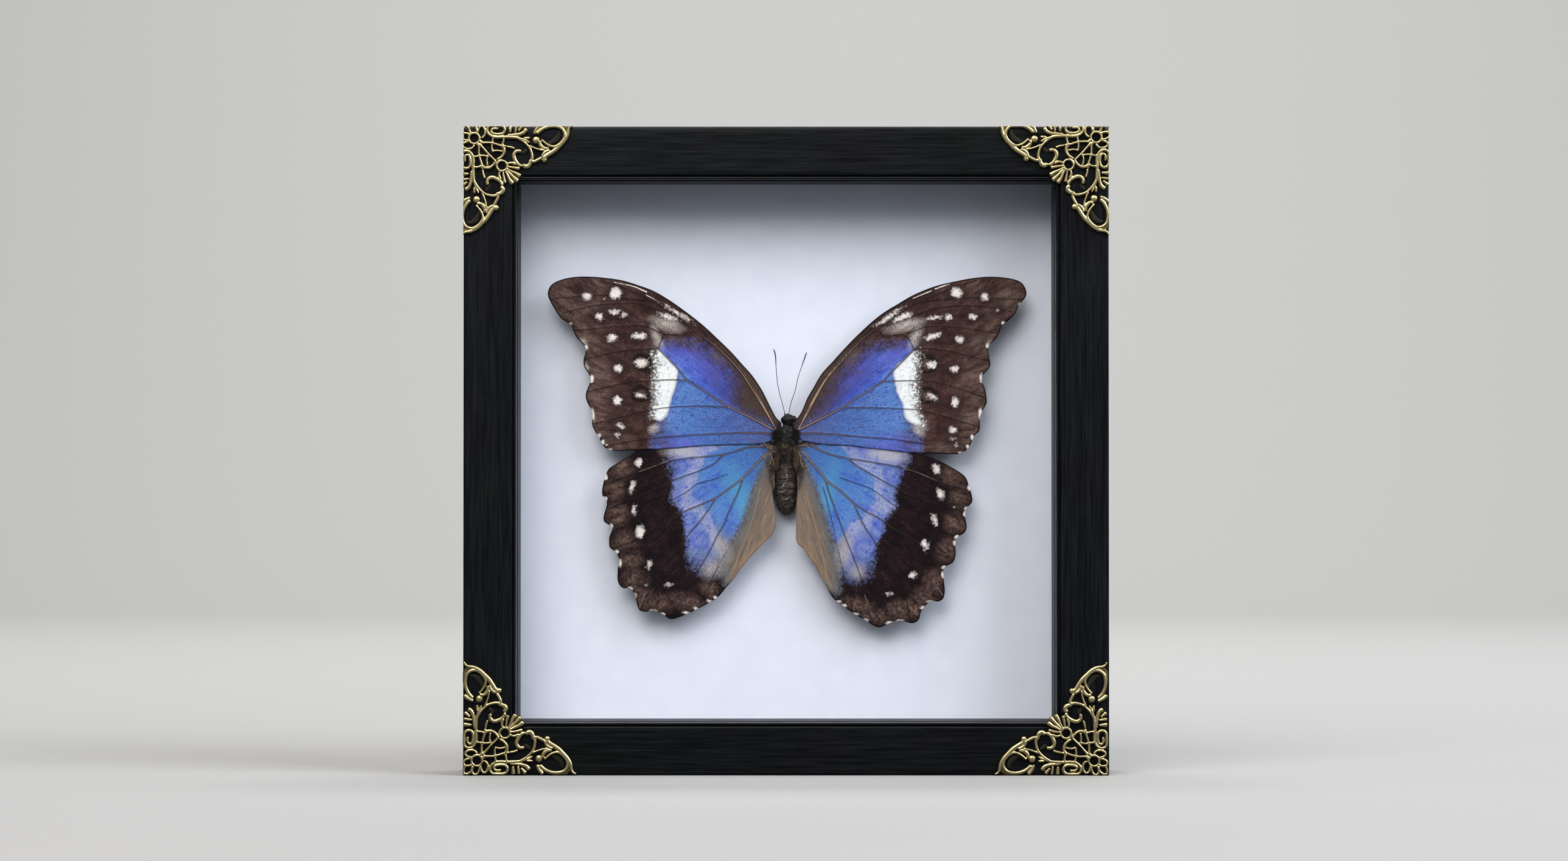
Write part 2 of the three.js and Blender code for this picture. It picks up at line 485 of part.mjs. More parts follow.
/** A closed round rod along a curve, whose radius follows radiusAt from 0 to 1. */
function taperedRod(points, radiusAt) {
  const curve = new THREE.CatmullRomCurve3(points);
  const frames = curve.computeFrenetFrames(ANTENNA_STEPS, false);
  const positions = [];
  for (let step = 0; step <= ANTENNA_STEPS; step += 1) {
    const centre = curve.getPointAt(step / ANTENNA_STEPS);
    const radius = radiusAt(step / ANTENNA_STEPS);
    for (let i = 0; i < ANTENNA_SIDES; i += 1) {
      const angle = (i / ANTENNA_SIDES) * 2 * Math.PI;
      const point = centre.clone()
        .addScaledVector(frames.normals[step], radius * Math.cos(angle))
        .addScaledVector(frames.binormals[step], radius * Math.sin(angle));
      positions.push(point.x, point.y, point.z);
    }
  }
  const faces = [];
  for (let step = 0; step < ANTENNA_STEPS; step += 1) {
    for (let i = 0; i < ANTENNA_SIDES; i += 1) {
      const next = (i + 1) % ANTENNA_SIDES;
      const [a, b] = [step * ANTENNA_SIDES + i, step * ANTENNA_SIDES + next];
      faces.push([a, b, b + ANTENNA_SIDES], [a, b + ANTENNA_SIDES, a + ANTENNA_SIDES]);
    }
  }
  const last = ANTENNA_STEPS * ANTENNA_SIDES;
  for (let i = 1; i < ANTENNA_SIDES - 1; i += 1) faces.push([0, i + 1, i], [last, last + i, last + i + 1]);
  const geometry = new THREE.BufferGeometry();
  geometry.setAttribute('position', new THREE.BufferAttribute(new Float32Array(positions), 3));
  geometry.setIndex(faces.flat());
  return isInsideOut(geometry) ? flipped(geometry) : geometry;
}

const antennaRadius = (t) => THREE.MathUtils.lerp(
  ANTENNA_RADIUS, CLUB_RADIUS, THREE.MathUtils.smoothstep(t, 0.75, 0.95),
);
for (const [name, route] of Object.entries(ANTENNAE)) {
  const points = route.map(([x, z]) => new THREE.Vector3(x, FRONT + ANTENNA_DEPTH, HINGE_HEIGHT + z));
  addMesh(name, taperedRod(points, antennaRadius), ANTENNA_BLACK);
}

export default group;
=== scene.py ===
"""A framed butterfly specimen: black shadow box, brass filigree corners, glass and a set blue butterfly.

Every piece is built in metres in the frame of the CAD model. Lengths that are easier to read in
millimetres are given in millimetres and multiplied by MM where the mesh is made.
"""

import logging
import math
from dataclasses import dataclass, field
from enum import Enum
from typing import Callable, Sequence

import bmesh
import bpy
import numpy as np
from bpy.types import Material, Node, NodeSocket, NodeTree, Object
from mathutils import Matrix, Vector, geometry, noise


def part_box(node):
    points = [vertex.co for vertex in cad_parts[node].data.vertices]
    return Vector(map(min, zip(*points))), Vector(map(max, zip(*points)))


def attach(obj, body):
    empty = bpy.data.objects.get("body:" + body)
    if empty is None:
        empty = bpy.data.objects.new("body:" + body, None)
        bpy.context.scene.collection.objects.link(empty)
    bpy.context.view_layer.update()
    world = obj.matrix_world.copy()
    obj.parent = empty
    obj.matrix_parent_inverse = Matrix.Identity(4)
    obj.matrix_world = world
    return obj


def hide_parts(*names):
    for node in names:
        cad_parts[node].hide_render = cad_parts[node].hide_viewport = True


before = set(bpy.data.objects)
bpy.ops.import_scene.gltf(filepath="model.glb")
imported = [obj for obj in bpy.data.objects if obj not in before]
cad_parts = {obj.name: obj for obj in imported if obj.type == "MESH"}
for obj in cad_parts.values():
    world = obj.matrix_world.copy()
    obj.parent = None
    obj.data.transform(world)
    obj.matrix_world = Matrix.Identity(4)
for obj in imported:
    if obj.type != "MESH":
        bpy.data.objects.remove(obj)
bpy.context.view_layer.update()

LOG = logging.getLogger("specimen")
MM = 0.001
ROOT = "root"

# Sizes of the box, in millimetres, as in the CAD model.
FRAME_WIDTH = 180.0
FRAME_HEIGHT = 181.0
FRONT = -14.0
BACK = 14.0
HINGE_HEIGHT = 95.5

Point = tuple[float, float]
Shape = tuple[np.ndarray, list]
Oval = tuple[float, ...]
Stroke = tuple[Sequence[Point], float, float]
Stops = tuple[tuple[float, str], ...]
Measure = tuple


class Side(Enum):
    """A side of the square frame."""

    BOTTOM = "bottom"
    TOP = "top"
    LEFT = "left"
    RIGHT = "right"


class Half(Enum):
    """A half of the butterfly; the value is the sign of X."""

    LEFT = -1
    RIGHT = 1


# ---------------------------------------------------------------- small helpers


def linear(code: str) -> tuple[float, float, float, float]:
    """Turns an sRGB hex colour into linear values.

    Args:
        code: six hex digits, such as "3f6fd0".

    Returns:
        Linear red, green, blue and an alpha of 1.
    """
    parts = [int(code[i:i + 2], 16) / 255 for i in (0, 2, 4)]
    values = [c / 12.92 if c <= 0.04045 else ((c + 0.055) / 1.055) ** 2.4 for c in parts]
    return values[0], values[1], values[2], 1.0


def add_node(tree: NodeTree, kind: str, settings: dict | None = None,
             links: dict | None = None) -> Node:
    """Adds a shader node, sets it up and links its inputs.

    Args:
        tree: the node tree that gets the node.
        kind: the node's type name without "ShaderNode", such as "TexNoise".
        settings: lower-case keys are properties of the node, the key "ramp" is a list of places and
            hex colours, and other keys are input sockets by name or number.
        links: input socket name or number to the node or output socket that feeds it.

    Returns:
        The new node.
    """
    made = tree.nodes.new("ShaderNode" + kind)

    def socket(key: str | int) -> NodeSocket:
        """The input with that number, or the first enabled one with that name."""
        if isinstance(key, int):
            return made.inputs[key]
        return next(s for s in made.inputs if s.name == key and s.enabled)

    for key, value in (settings or {}).items():
        if key == "ramp":
            stops = made.color_ramp.elements
            while len(stops) < len(value):
                stops.new(1.0)
            for stop, (place, colour) in zip(stops, value):
                stop.position, stop.color = place, linear(colour)
        elif isinstance(key, str) and key.islower():
            setattr(made, key, value)
        else:
            socket(key).default_value = value
    for key, source in (links or {}).items():
        if isinstance(source, Node):
            source = next(s for s in source.outputs if s.enabled)
        tree.links.new(source, socket(key))
    return made


def new_material(name: str) -> tuple[Material, NodeTree]:
    """Makes an empty node material.

    Args:
        name: the material's name.

    Returns:
        The material and its empty node tree.
    """
    material = bpy.data.materials.new(name)
    material.use_nodes = True
    material.node_tree.nodes.clear()
    return material, material.node_tree


def surface(tree: NodeTree, settings: dict, links: dict) -> None:
    """Ends a material in one Principled shader with these fixed and fed sockets."""
    add_node(tree, "OutputMaterial", {}, {"Surface": add_node(tree, "BsdfPrincipled", settings, links)})


def new_piece(name: str, verts: Sequence, faces: Sequence, material: Material,
              slot: str, replaces: Sequence[str] = (), smooth: bool = True) -> Object:
    """Makes a mesh piece of the specimen and hangs it on the frame.

    Args:
        name: the piece's name.
        verts: its vertices, in millimetres.
        faces: its faces, as vertex numbers.
        material: its finish.
        slot: the record's material slot for it; not used.
        replaces: the CAD nodes that it stands for.
        smooth: True for smooth shading.

    Returns:
        The new object.
    """
    mesh = bpy.data.meshes.new(name)
    mesh.from_pydata((np.asarray(verts, float) * MM).tolist(), [], [tuple(map(int, f)) for f in faces])
    mesh.update()
    return register(bpy.data.objects.new(name, mesh), material, replaces, smooth)


def register(piece: Object, material: Material,
             replaces: Sequence[str] = (), smooth: bool = True) -> Object:
    """Puts a finished object in the scene, dresses it and hangs it on the frame.

    Args:
        piece: an object in no collection yet.
        material: its finish.
        replaces: the CAD nodes that it stands for.
        smooth: True for smooth shading.

    Returns:
        The same object.
    """
    bpy.context.scene.collection.objects.link(piece)
    piece.data.materials.clear()
    piece.data.materials.append(material)
    piece.data.polygons.foreach_set("use_smooth", [smooth] * len(piece.data.polygons))
    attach(piece, ROOT)
    if replaces:
        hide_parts(*replaces)
    LOG.info("%s: %d faces", piece.name, len(piece.data.polygons))
    return piece


def add_bevel(piece: Object, width: float) -> None:
    """Rounds a piece's edges that are sharper than 30 degrees.

    Args:
        piece: the object.
        width: width of the bevel in millimetres.
    """
    bevel = piece.modifiers.new("eased_edges", "BEVEL")
    bevel.width, bevel.segments = width * MM, 2
    bevel.limit_method, bevel.angle_limit = "ANGLE", math.radians(30)
    bevel.harden_normals = True


def applied(piece: Object) -> bpy.types.Mesh:
    """The mesh that a linked object has once its modifiers are applied."""
    bpy.context.view_layer.update()
    graph = bpy.context.evaluated_depsgraph_get()
    return bpy.data.meshes.new_from_object(piece.evaluated_get(graph))


def box_mesh(low: Sequence[float], high: Sequence[float], cuts: Sequence[int] = (1, 1, 1)) -> Shape:
    """A box made of a grid of faces on each side, so that it can be bent a little.

    Args:
        low: lowest corner.
        high: highest corner.
        cuts: steps along X, Y and Z.

    Returns:
        Vertices and faces.
    """
    low, high = np.asarray(low, float), np.asarray(high, float)
    index: dict[tuple, int] = {}
    verts: list = []
    faces: list = []

    def corner(i: int, j: int, k: int) -> int:
        """The vertex at that place of the grid."""
        key = (i, j, k)
        if key not in index:
            index[key] = len(verts)
            verts.append(low + (high - low) * np.array(key) / np.array(cuts))
        return index[key]

    for axis in range(3):
        a, b = (axis + 1) % 3, (axis + 2) % 3
        for end in (0, cuts[axis]):
            for i in range(cuts[a]):
                for j in range(cuts[b]):
                    ring = []
                    for di, dj in ((0, 0), (1, 0), (1, 1), (0, 1)):
                        place = [0, 0, 0]
                        place[axis], place[a], place[b] = end, i + di, j + dj
                        ring.append(corner(*place))
                    faces.append(ring if end else ring[::-1])
    return np.array(verts), faces


def loft_faces(rows: int, sides: int) -> list[tuple[int, int, int, int]]:
    """The faces between closed rings of vertices.

    Args:
        rows: how many rings there are.
        sides: vertices in each ring.

    Returns:
        Four vertex numbers for each face.
    """
    return [(row * sides + i, row * sides + (i + 1) % sides, (row + 1) * sides + (i + 1) % sides,
             (row + 1) * sides + i) for row in range(rows - 1) for i in range(sides)]


def lifted(path: np.ndarray, depth: float | np.ndarray, base: float = HINGE_HEIGHT) -> np.ndarray:
    """Stands a flat path or outline up in the box.

    Args:
        path: one row of X and height for each point.
        depth: Y of the points, one value or one for each.
        base: the height from which the rows are measured.

    Returns:
        One row of X, Y and Z for each point.
    """
    return np.column_stack([path[:, 0], np.broadcast_to(depth, len(path)), path[:, 1] + base])


def tube_mesh(points: np.ndarray, radii: np.ndarray, sides: int = 10) -> Shape:
    """A closed tube along a path, with pointed round ends.

    Args:
        points: the path, one row for each point.
        radii: the tube's radius at each point.
        sides: faces around it.

    Returns:
        Vertices and faces.
    """
    points = np.asarray(points, float)
    tangent = np.gradient(points, axis=0)
    tangent /= np.maximum(np.linalg.norm(tangent, axis=1, keepdims=True), 1e-9)
    depth = np.array([0.0, 1.0, 0.0])
    side = np.cross(tangent, depth)
    length = np.linalg.norm(side, axis=1, keepdims=True)
    side = np.where(length > 1e-6, side / np.maximum(length, 1e-9), np.array([1.0, 0, 0]))
    rise = np.cross(side, tangent)
    angle = np.arange(sides) / sides * 2 * np.pi
    ring = np.cos(angle)[None, :, None] * side[:, None] + np.sin(angle)[None, :, None] * rise[:, None]
    verts = (points[:, None] + ring * np.asarray(radii)[:, None, None]).reshape(-1, 3)
    start = points[0] - tangent[0] * radii[0] * 0.6
    end = points[-1] + tangent[-1] * radii[-1] * 0.6
    verts = np.vstack([verts, start, end])
    faces: list = [(a, d, c, b) for a, b, c, d in loft_faces(len(points), sides)]
    last, first_tip, last_tip = (len(points) - 1) * sides, len(verts) - 2, len(verts) - 1
    for i in range(sides):
        j = (i + 1) % sides
        faces.append((first_tip, i, j))
        faces.append((last_tip, last + j, last + i))
    return verts, faces


def ball_mesh(centre: Sequence[float], radii: Sequence[float], rings: int = 10, sides: int = 16) -> Shape:
    """A ball or an egg.

    Args:
        centre: its middle.
        radii: half its size along X, Y and Z.
        rings: steps from pole to pole.
        sides: steps around.

    Returns:
        Vertices and faces.
    """
    verts = [(0, 0, 1)]
    for r in range(1, rings):
        polar = math.pi * r / rings
        for s in range(sides):
            turn = 2 * math.pi * s / sides
            out = math.sin(polar)
            verts.append((out * math.cos(turn), out * math.sin(turn), math.cos(polar)))
    verts.append((0, 0, -1))
    faces: list = []
    for s in range(sides):
        t = (s + 1) % sides
        faces.append((0, 1 + s, 1 + t))
        faces.append((len(verts) - 1, 1 + (rings - 2) * sides + t, 1 + (rings - 2) * sides + s))
        for r in range(rings - 2):
            a, b = 1 + r * sides, 1 + (r + 1) * sides
            faces.append((a + s, b + s, b + t, a + t))
    return np.array(verts) * np.asarray(radii) + np.asarray(centre), faces


def joined(parts: Sequence[Shape]) -> Shape:
    """Joins several meshes into one.

    Args:
        parts: pairs of vertices and faces.

    Returns:
        Vertices and faces of the whole.
    """
    verts, faces, offset = [], [], 0
    for part_verts, part_faces in parts:
        verts.append(part_verts)
        faces += [tuple(i + offset for i in face) for face in part_faces]
        offset += len(part_verts)
    return np.vstack(verts), faces


def smooth_path(points: Sequence[Point], step: float, closed: bool = False) -> np.ndarray:
    """Points at an even step along a smooth curve through the given ones.

    Args:
        points: the points that the curve passes through.
        step: distance between two results.
        closed: True when the curve ends where it starts.

    Returns:
        One row for each point.
    """
    p = np.asarray(points, float)
    ends = (p[-1:], p[:2]) if closed else (2 * p[:1] - p[1:2], 2 * p[-1:] - p[-2:-1])
    p = np.vstack([ends[0], p, ends[1]])
    t = np.linspace(0, 1, 9)[:-1, None]
    dense = []
    for a, b, c, d in zip(p[:-3], p[1:-2], p[2:-1], p[3:]):
        dense.append(0.5 * (2 * b + (c - a) * t + (2 * a - 5 * b + 4 * c - d) * t ** 2
                            + (3 * b - a - 3 * c + d) * t ** 3))
    dense.append(p[-2:-1])
    dense = np.vstack(dense)
    run = np.concatenate([[0], np.cumsum(np.linalg.norm(np.diff(dense, axis=0), axis=1))])
    count = max(2, int(round(run[-1] / step)) + 1)
    even = np.linspace(0, run[-1], count)
    path = np.column_stack([np.interp(even, run, dense[:, k]) for k in range(dense.shape[1])])
    return path[:-1] if closed else path


def segment_distance(points: np.ndarray, path: np.ndarray) -> tuple[np.ndarray, np.ndarray]:
    """Distance from points to a polyline.

    Args:
        points: one row for each point.
        path: the polyline's corners.

    Returns:
        The distance, and the place along the polyline from 0 to 1.
    """
    best = np.full(len(points), 1e9)
    place = np.zeros(len(points))
    count = len(path) - 1
    for i, (a, b) in enumerate(zip(path[:-1], path[1:])):
        run = b - a
        t = np.clip(((points - a) @ run) / max(run @ run, 1e-12), 0, 1)
        distance = np.linalg.norm(points - a - t[:, None] * run, axis=1)
        nearer = distance < best
        best[nearer] = distance[nearer]
        place[nearer] = (i + t[nearer]) / count
    return best, place


def signed_distance(points: np.ndarray, outline: np.ndarray) -> np.ndarray:
    """Distance to a closed outline, negative inside it.

    Args:
        points: one row for each point.
        outline: the outline's corners, without repeating the first.

    Returns:
        One distance for each point.
    """
    around = np.vstack([outline, outline[:1]])
    distance, _ = segment_distance(points, around)
    inside = np.zeros(len(points), bool)
    for a, b in zip(around[:-1], around[1:]):
        spans = (a[1] > points[:, 1]) != (b[1] > points[:, 1])
        rise = b[1] - a[1] if abs(b[1] - a[1]) > 1e-12 else 1e-12
        inside ^= spans & (points[:, 0] < (b[0] - a[0]) * (points[:, 1] - a[1]) / rise + a[0])
    return np.where(inside, -distance, distance)


def set_attribute(mesh: bpy.types.Mesh, name: str, values: np.ndarray) -> None:
    """Stores one number for each vertex under a name that materials can read."""
    attribute = mesh.attributes.new(name, "FLOAT", "POINT")
    attribute.data.foreach_set("value", np.asarray(values, np.float32))


def soft_noise(x: float, z: float, size: float, seed: float) -> float:
    """Smooth noise from -1 to 1 whose features are about size millimetres wide."""
    return noise.noise(Vector((x / size, seed, z / size)))


# ---------------------------------------------------------------- finishes


@dataclass(frozen=True)
class Grain:
    """A noise pattern, given by the width in millimetres of its largest features."""

    size: float
    detail: float = 2.0
    roughness: float = 0.5
    distortion: float = 0.0

    def settings(self) -> dict:
        """The settings of its noise node."""
        return {"Scale": 1 / (self.size * MM), "Detail": self.detail, "Roughness": self.roughness,
                "Distortion": self.distortion}


@dataclass(frozen=True)
class Mottled:
    """What several finishes share: a tone that wanders in soft clouds, over a fine tooth.

    The bump is the strength of the tooth and its depth in millimetres.
    """

    name: str
    stops: Stops
    cloud: Grain
    tooth: Grain
    bump: tuple[float, float]
    roughness: float
    shine: float = 0.5

    def tone(self, tree: NodeTree, cloud: Node, tooth: Node) -> Node:
        """What drives the tone: here the clouds alone."""
        return cloud

    def build(self) -> Material:
        """Makes the finish."""
        material, tree = new_material(self.name)
        place = {"Vector": add_node(tree, "TexCoord").outputs["Object"]}
        cloud = add_node(tree, "TexNoise", self.cloud.settings(), place)
        tooth = add_node(tree, "TexNoise", self.tooth.settings(), place)
        colour = add_node(tree, "ValToRGB", {"ramp": self.stops}, {"Fac": self.tone(tree, cloud, tooth)})
        strength, depth = self.bump
        bump = add_node(tree, "Bump", {"Strength": strength, "Distance": depth * MM}, {"Height": tooth})
        surface(tree, {"Roughness": self.roughness, "Specular IOR Level": self.shine},
                {"Base Color": colour, "Normal": bump})
        return material


@dataclass(frozen=True)
class PaintedStrip(Mottled):
    """Matt black painted wood strip: flat and slightly chalky, with a fine tooth of dried paint."""

    name: str = "matt_black_strip"
    stops: Stops = ((0.3, "12141a"), (0.7, "1e212a"))
    cloud: Grain = Grain(11.11, 3.0)
    tooth: Grain = Grain(0.625)
    bump: tuple[float, float] = (0.4, 0.04)
    roughness: float = 0.62


@dataclass(frozen=True)
class WhiteCard(Mottled):
    """Uncoated white card, calendered: a faint fibre mottle and a cool white."""

    name: str = "white_card"
    stops: Stops = ((0.35, "e3e7f6"), (0.65, "e7ebf9"))
    cloud: Grain = Grain(7.143, 4.0)
    tooth: Grain = Grain(0.5, 4.0, 0.65)
    bump: tuple[float, float] = (0.22, 0.05)
    roughness: float = 0.85
    shine: float = 0.3


@dataclass(frozen=True)
class Hardboard(Mottled):
    """Pressed hardboard: brown, smooth on the outside, with a fine felted fibre."""

    name: str = "hardboard"
    stops: Stops = ((0.35, "5b3d26"), (0.65, "7d5a3b"))
    cloud: Grain = Grain(16.667, 4.0)
    tooth: Grain = Grain(1.1111, 6.0, 0.5, 1.2)
    bump: tuple[float, float] = (0.4, 0.08)
    roughness: float = 0.7

    def tone(self, tree: NodeTree, cloud: Node, tooth: Node) -> Node:
        """What drives the tone: fibre and clouds in equal parts."""
        return add_node(tree, "Mix", {"data_type": "FLOAT", "Factor": 0.5}, {"A": tooth, "B": cloud})


@dataclass(frozen=True)
class DryChitin(Mottled):
    """Dried insect cuticle: brown-black and slightly glossy, darker in the grooves as painted shade and paler
    on the ridges as painted highlight and dust.

    The mesh stores how far each point stands out of the skin, from 0 to 1, as "rise".
    """

    cloud: Grain = Grain(1.6129, 5.0, 0.65)
    tooth: Grain = Grain(0.6667, 5.0, 0.65)
    bump: tuple[float, float] = (0.5, 0.12)
    roughness: float = 0.42
    shine: float = 0.3

    @classmethod
    def of(cls, name: str, low: str, high: str, dust: str, roughness: float) -> "DryChitin":
        """A cuticle with given colours for its grooves (painted shade), its ridges, and its highest ridges
        (dust and painted highlight).
        """
        return cls(name, ((0.36, low), (0.56, high), (0.72, dust)), roughness=roughness)

    def tone(self, tree: NodeTree, cloud: Node, tooth: Node) -> Node:
        """What drives the tone: clouds and relief in equal parts, so that the relief paints shade in the
        grooves and a highlight on the ridges.
        """
        rise = add_node(tree, "Attribute", {"attribute_name": "rise"}).outputs["Fac"]
        return add_node(tree, "Mix", {"data_type": "FLOAT", "Factor": 0.5}, {"A": cloud, "B": rise})


@dataclass(frozen=True)
class StudioPaper:
    """Seamless background paper: matt and even, with a faint tooth."""

    name: str = "pale_paper_sweep"
    colour: str = "c9c9c7"
    tooth: Grain = Grain(1.4286)

    def build(self) -> Material:
        """Makes the finish."""
        material, tree = new_material(self.name)
        coords = add_node(tree, "TexCoord").outputs["Object"]
        tooth = add_node(tree, "TexNoise", self.tooth.settings(), {"Vector": coords})
        bump = add_node(tree, "Bump", {"Strength": 0.1, "Distance": 0.1 * MM}, {"Height": tooth})
        surface(tree, {"Base Color": linear(self.colour), "Roughness": 0.9}, {"Normal": bump})
        return material


@dataclass(frozen=True)
class LacqueredWood:
    """Close-grained wood sprayed with black satin lacquer: the grain still shows as fine raised lines.

    Grain and pores are drawn stretch times as long as they are wide.
    """

    name: str = "black_lacquered_wood"
    stops: Stops = ((0.35, "090c0f"), (0.8, "1b2025"))
    grain: Grain = Grain(0.55, 3.0, 0.6)
    pores: Grain = Grain(0.22, 1.0)
    cloud: Grain = Grain(22.222)
    stretch: float = 26.0

    def build(self, along: Side) -> Material:
        """Makes the finish for a rail.

        Args:
            along: the rail, which sets the direction of the grain.

        Returns:
            The material.
        """
        material, tree = new_material(f"{self.name}_{along.value}")
        squeeze = (1 / self.stretch, 1, 1) if along in (Side.TOP, Side.BOTTOM) else (1, 1, 1 / self.stretch)
        coords = add_node(tree, "TexCoord").outputs["Object"]
        place = {"Vector": add_node(tree, "Mapping", {"Scale": squeeze}, {"Vector": coords})}
        grain = add_node(tree, "TexNoise", self.grain.settings(), place)
        pores = add_node(tree, "TexNoise", self.pores.settings(), place)
        cloud = add_node(tree, "TexNoise", self.cloud.settings(), {"Vector": coords})
        tone = add_node(tree, "ValToRGB", {"ramp": self.stops}, {"Fac": grain})
        tint = add_node(tree, "Mix", {"data_type": "RGBA", "blend_type": "MULTIPLY", "Factor": 0.5},
                        {"A": tone, "B": cloud.outputs["Color"]})
        gloss = add_node(tree, "MapRange", {"From Min": 0.3, "From Max": 0.7, "To Min": 0.32, "To Max": 0.44},
                         {"Value": grain})
        low = add_node(tree, "Bump", {"Strength": 0.35, "Distance": 0.06 * MM}, {"Height": grain})
        fine = add_node(tree, "Bump", {"Strength": 0.25, "Distance": 0.03 * MM},
                        {"Height": pores, "Normal": low})
        surface(tree, {"IOR": 1.5, "Specular IOR Level": 0.3},
                {"Base Color": tint, "Roughness": gloss, "Normal": fine})
        return material


@dataclass(frozen=True)
class FloatGlass:
    """Coated picture glass: clear, with an anti-reflection film that leaves hardly any shine."""

    name: str = "float_glass"
    tint: str = "fbfefd"

    def build(self) -> Material:
        """Makes the finish."""
        material, tree = new_material(self.name)
        surface(tree, {"Base Color": linear(self.tint), "Roughness": 0.0, "IOR": 1.45,
                       "Specular IOR Level": 0.06, "Transmission Weight": 1.0}, {})
        return material


@dataclass(frozen=True)
class ZincSteel:
    """Stamped steel with a zinc plating: grey, with a soft spangle that shines unevenly."""

    name: str = "zinc_plated_steel"
    stops: Stops = ((0.0, "8a8d91"), (1.0, "b4b7ba"))
    spangle: float = 2.0

    def build(self) -> Material:
        """Makes the finish."""
        material, tree = new_material(self.name)
        coords = add_node(tree, "TexCoord").outputs["Object"]
        spangle = add_node(tree, "TexVoronoi", {"Scale": 1 / (self.spangle * MM)}, {"Vector": coords})
        tone = add_node(tree, "ValToRGB", {"ramp": self.stops}, {"Fac": spangle.outputs["Color"]})
        rough = add_node(tree, "MapRange", {"To Min": 0.28, "To Max": 0.5},
                         {"Value": spangle.outputs["Distance"]})
        surface(tree, {"Metallic": 1.0}, {"Base Color": tone, "Roughness": rough})
        return material


@dataclass(frozen=True)
class AntiqueBrass:
    """Cast brass, blackened and then rubbed: nearly black patina in the hollows, and a pale painted highlight
    on the ridges.

    The mesh stores how far each point stands out of the casting, from 0 to 1, as "rise".
    """

    name: str = "antique_brass"
    # the top stop, pale cream on the highest crests, is a painted highlight; the dark low stops are the
    # patina in the hollows
    stops: Stops = ((0.42, "29261c"), (0.64, "544b30"), (0.82, "b5a56c"), (0.94, "f3e3ab"))
    patina: Grain = Grain(0.71429, 4.0, 0.6)

    def build(self) -> Material:
        """Makes the finish."""
        material, tree = new_material(self.name)
        coords = add_node(tree, "TexCoord").outputs["Object"]
        rise = add_node(tree, "Attribute", {"attribute_name": "rise"}).outputs["Fac"]
        patina = add_node(tree, "TexNoise", self.patina.settings(), {"Vector": coords})
        shift = add_node(tree, "MapRange", {"To Min": -0.1, "To Max": 0.1}, {"Value": patina})
        # height and patina together pick the tone: dark patina in the hollows, painted highlight on the
        # crests
        worn = add_node(tree, "Math", {"operation": "ADD"}, {0: rise, 1: shift})
        tone = add_node(tree, "ValToRGB", {"ramp": self.stops}, {"Fac": worn})
        metal = add_node(tree, "MapRange", {"From Min": 0.25, "From Max": 0.6, "To Min": 0.2, "To Max": 0.9},
                         {"Value": worn})
        rough = add_node(tree, "MapRange", {"From Min": 0.3, "From Max": 0.9, "To Min": 0.62, "To Max": 0.36},
                         {"Value": worn})
        bump = add_node(tree, "Bump", {"Strength": 0.25, "Distance": 0.05 * MM}, {"Height": patina})
        surface(tree, {}, {"Base Color": tone, "Metallic": metal, "Roughness": rough, "Normal": bump})
        return material


@dataclass(frozen=True)
class Hair:
    """Fine insect hair: a soft matt fibre whose colour varies from strand to strand."""

    name: str
    low: str
    high: str

    def build(self) -> Material:
        """Makes the finish."""
        material, tree = new_material(self.name)
        strand = add_node(tree, "Attribute", {"attribute_name": "strand"}).outputs["Fac"]
        tone = add_node(tree, "ValToRGB", {"ramp": ((0.2, self.low), (1.0, self.high))}, {"Fac": strand})
        surface(tree, {"Roughness": 0.75, "Specular IOR Level": 0.2}, {"Base Color": tone})
        return material


class Painter:
    """Lays colours over each other in a node tree, each where a few measures allow it.

    A measure is (source, low, high, least, most): the source is a noise, a mask or a stored number,
    mapped from the range low to high onto the range least to most, or 0 to 1 where these are left
    out. A measure of one item is its source as it is.
    """

    def __init__(self, tree: NodeTree, stored: Sequence[str]) -> None:
        """Starts with the numbers that the mesh stores.

        Args:
            tree: the node tree that gets the nodes.
            stored: their names.
        """
        self.tree = tree
        self.sources: dict[str, Node | NodeSocket] = {
            name: add_node(tree, "Attribute", {"attribute_name": name}).outputs["Fac"] for name in stored}

    def mask(self, *measures: Measure) -> Node | NodeSocket:
        """The product of some measures.

        Args:
            measures: what the mask depends on.

        Returns:
            What holds the product.
        """
        parts = []
        for name, *span in measures:
            part = self.sources[name]
            if span:
                low, high, least, most = (*span, 0.0, 1.0)[:4]
                ends = {"From Min": low, "From Max": high, "To Min": least, "To Max": most}
                part = add_node(self.tree, "MapRange", ends, {"Value": part})
            parts.append(part)
        product = parts[0]
        for part in parts[1:]:
            product = add_node(self.tree, "Math", {"operation": "MULTIPLY"}, {0: product, 1: part})
        return product

    def frayed(self, distance: str, fray: float, soft: float, *strength: Measure) -> Node:
        """Finds the inside of a patch, with an edge that noise frays into scales.

        Args:
            distance: the stored signed distance to the patch's edge.
            fray: how far the noise shifts the edge, in millimetres.
            soft: half the width of the edge's blur.
            strength: measures that weaken the fraying.

        Returns:
            A mask: 1 inside the patch and 0 outside.
        """
        shift = self.mask(("ragged", 0.3, 0.7, -fray, fray), *strength)
        moved = add_node(self.tree, "Math", {"operation": "ADD"}, {0: self.sources[distance], 1: shift})
        return add_node(self.tree, "MapRange", {"From Min": soft, "From Max": -soft}, {"Value": moved})

    def lay(self, below: str | Node, *layers: tuple) -> Node:
        """Lays colours over each other.

        Args:
            below: the lowest colour, as a hex code or a node.
            layers: from the lowest up, each a colour and its measures.

        Returns:
            The node that holds the result.
        """
        for above, *measures in layers:
            settings: dict = {"data_type": "RGBA"}
            links = {"Factor": self.mask(*measures)}
            for name, colour in (("A", below), ("B", above)):
                if isinstance(colour, str):
                    settings[name] = linear(colour)
                else:
                    links[name] = colour
            below = add_node(self.tree, "Mix", settings, links)
        return below


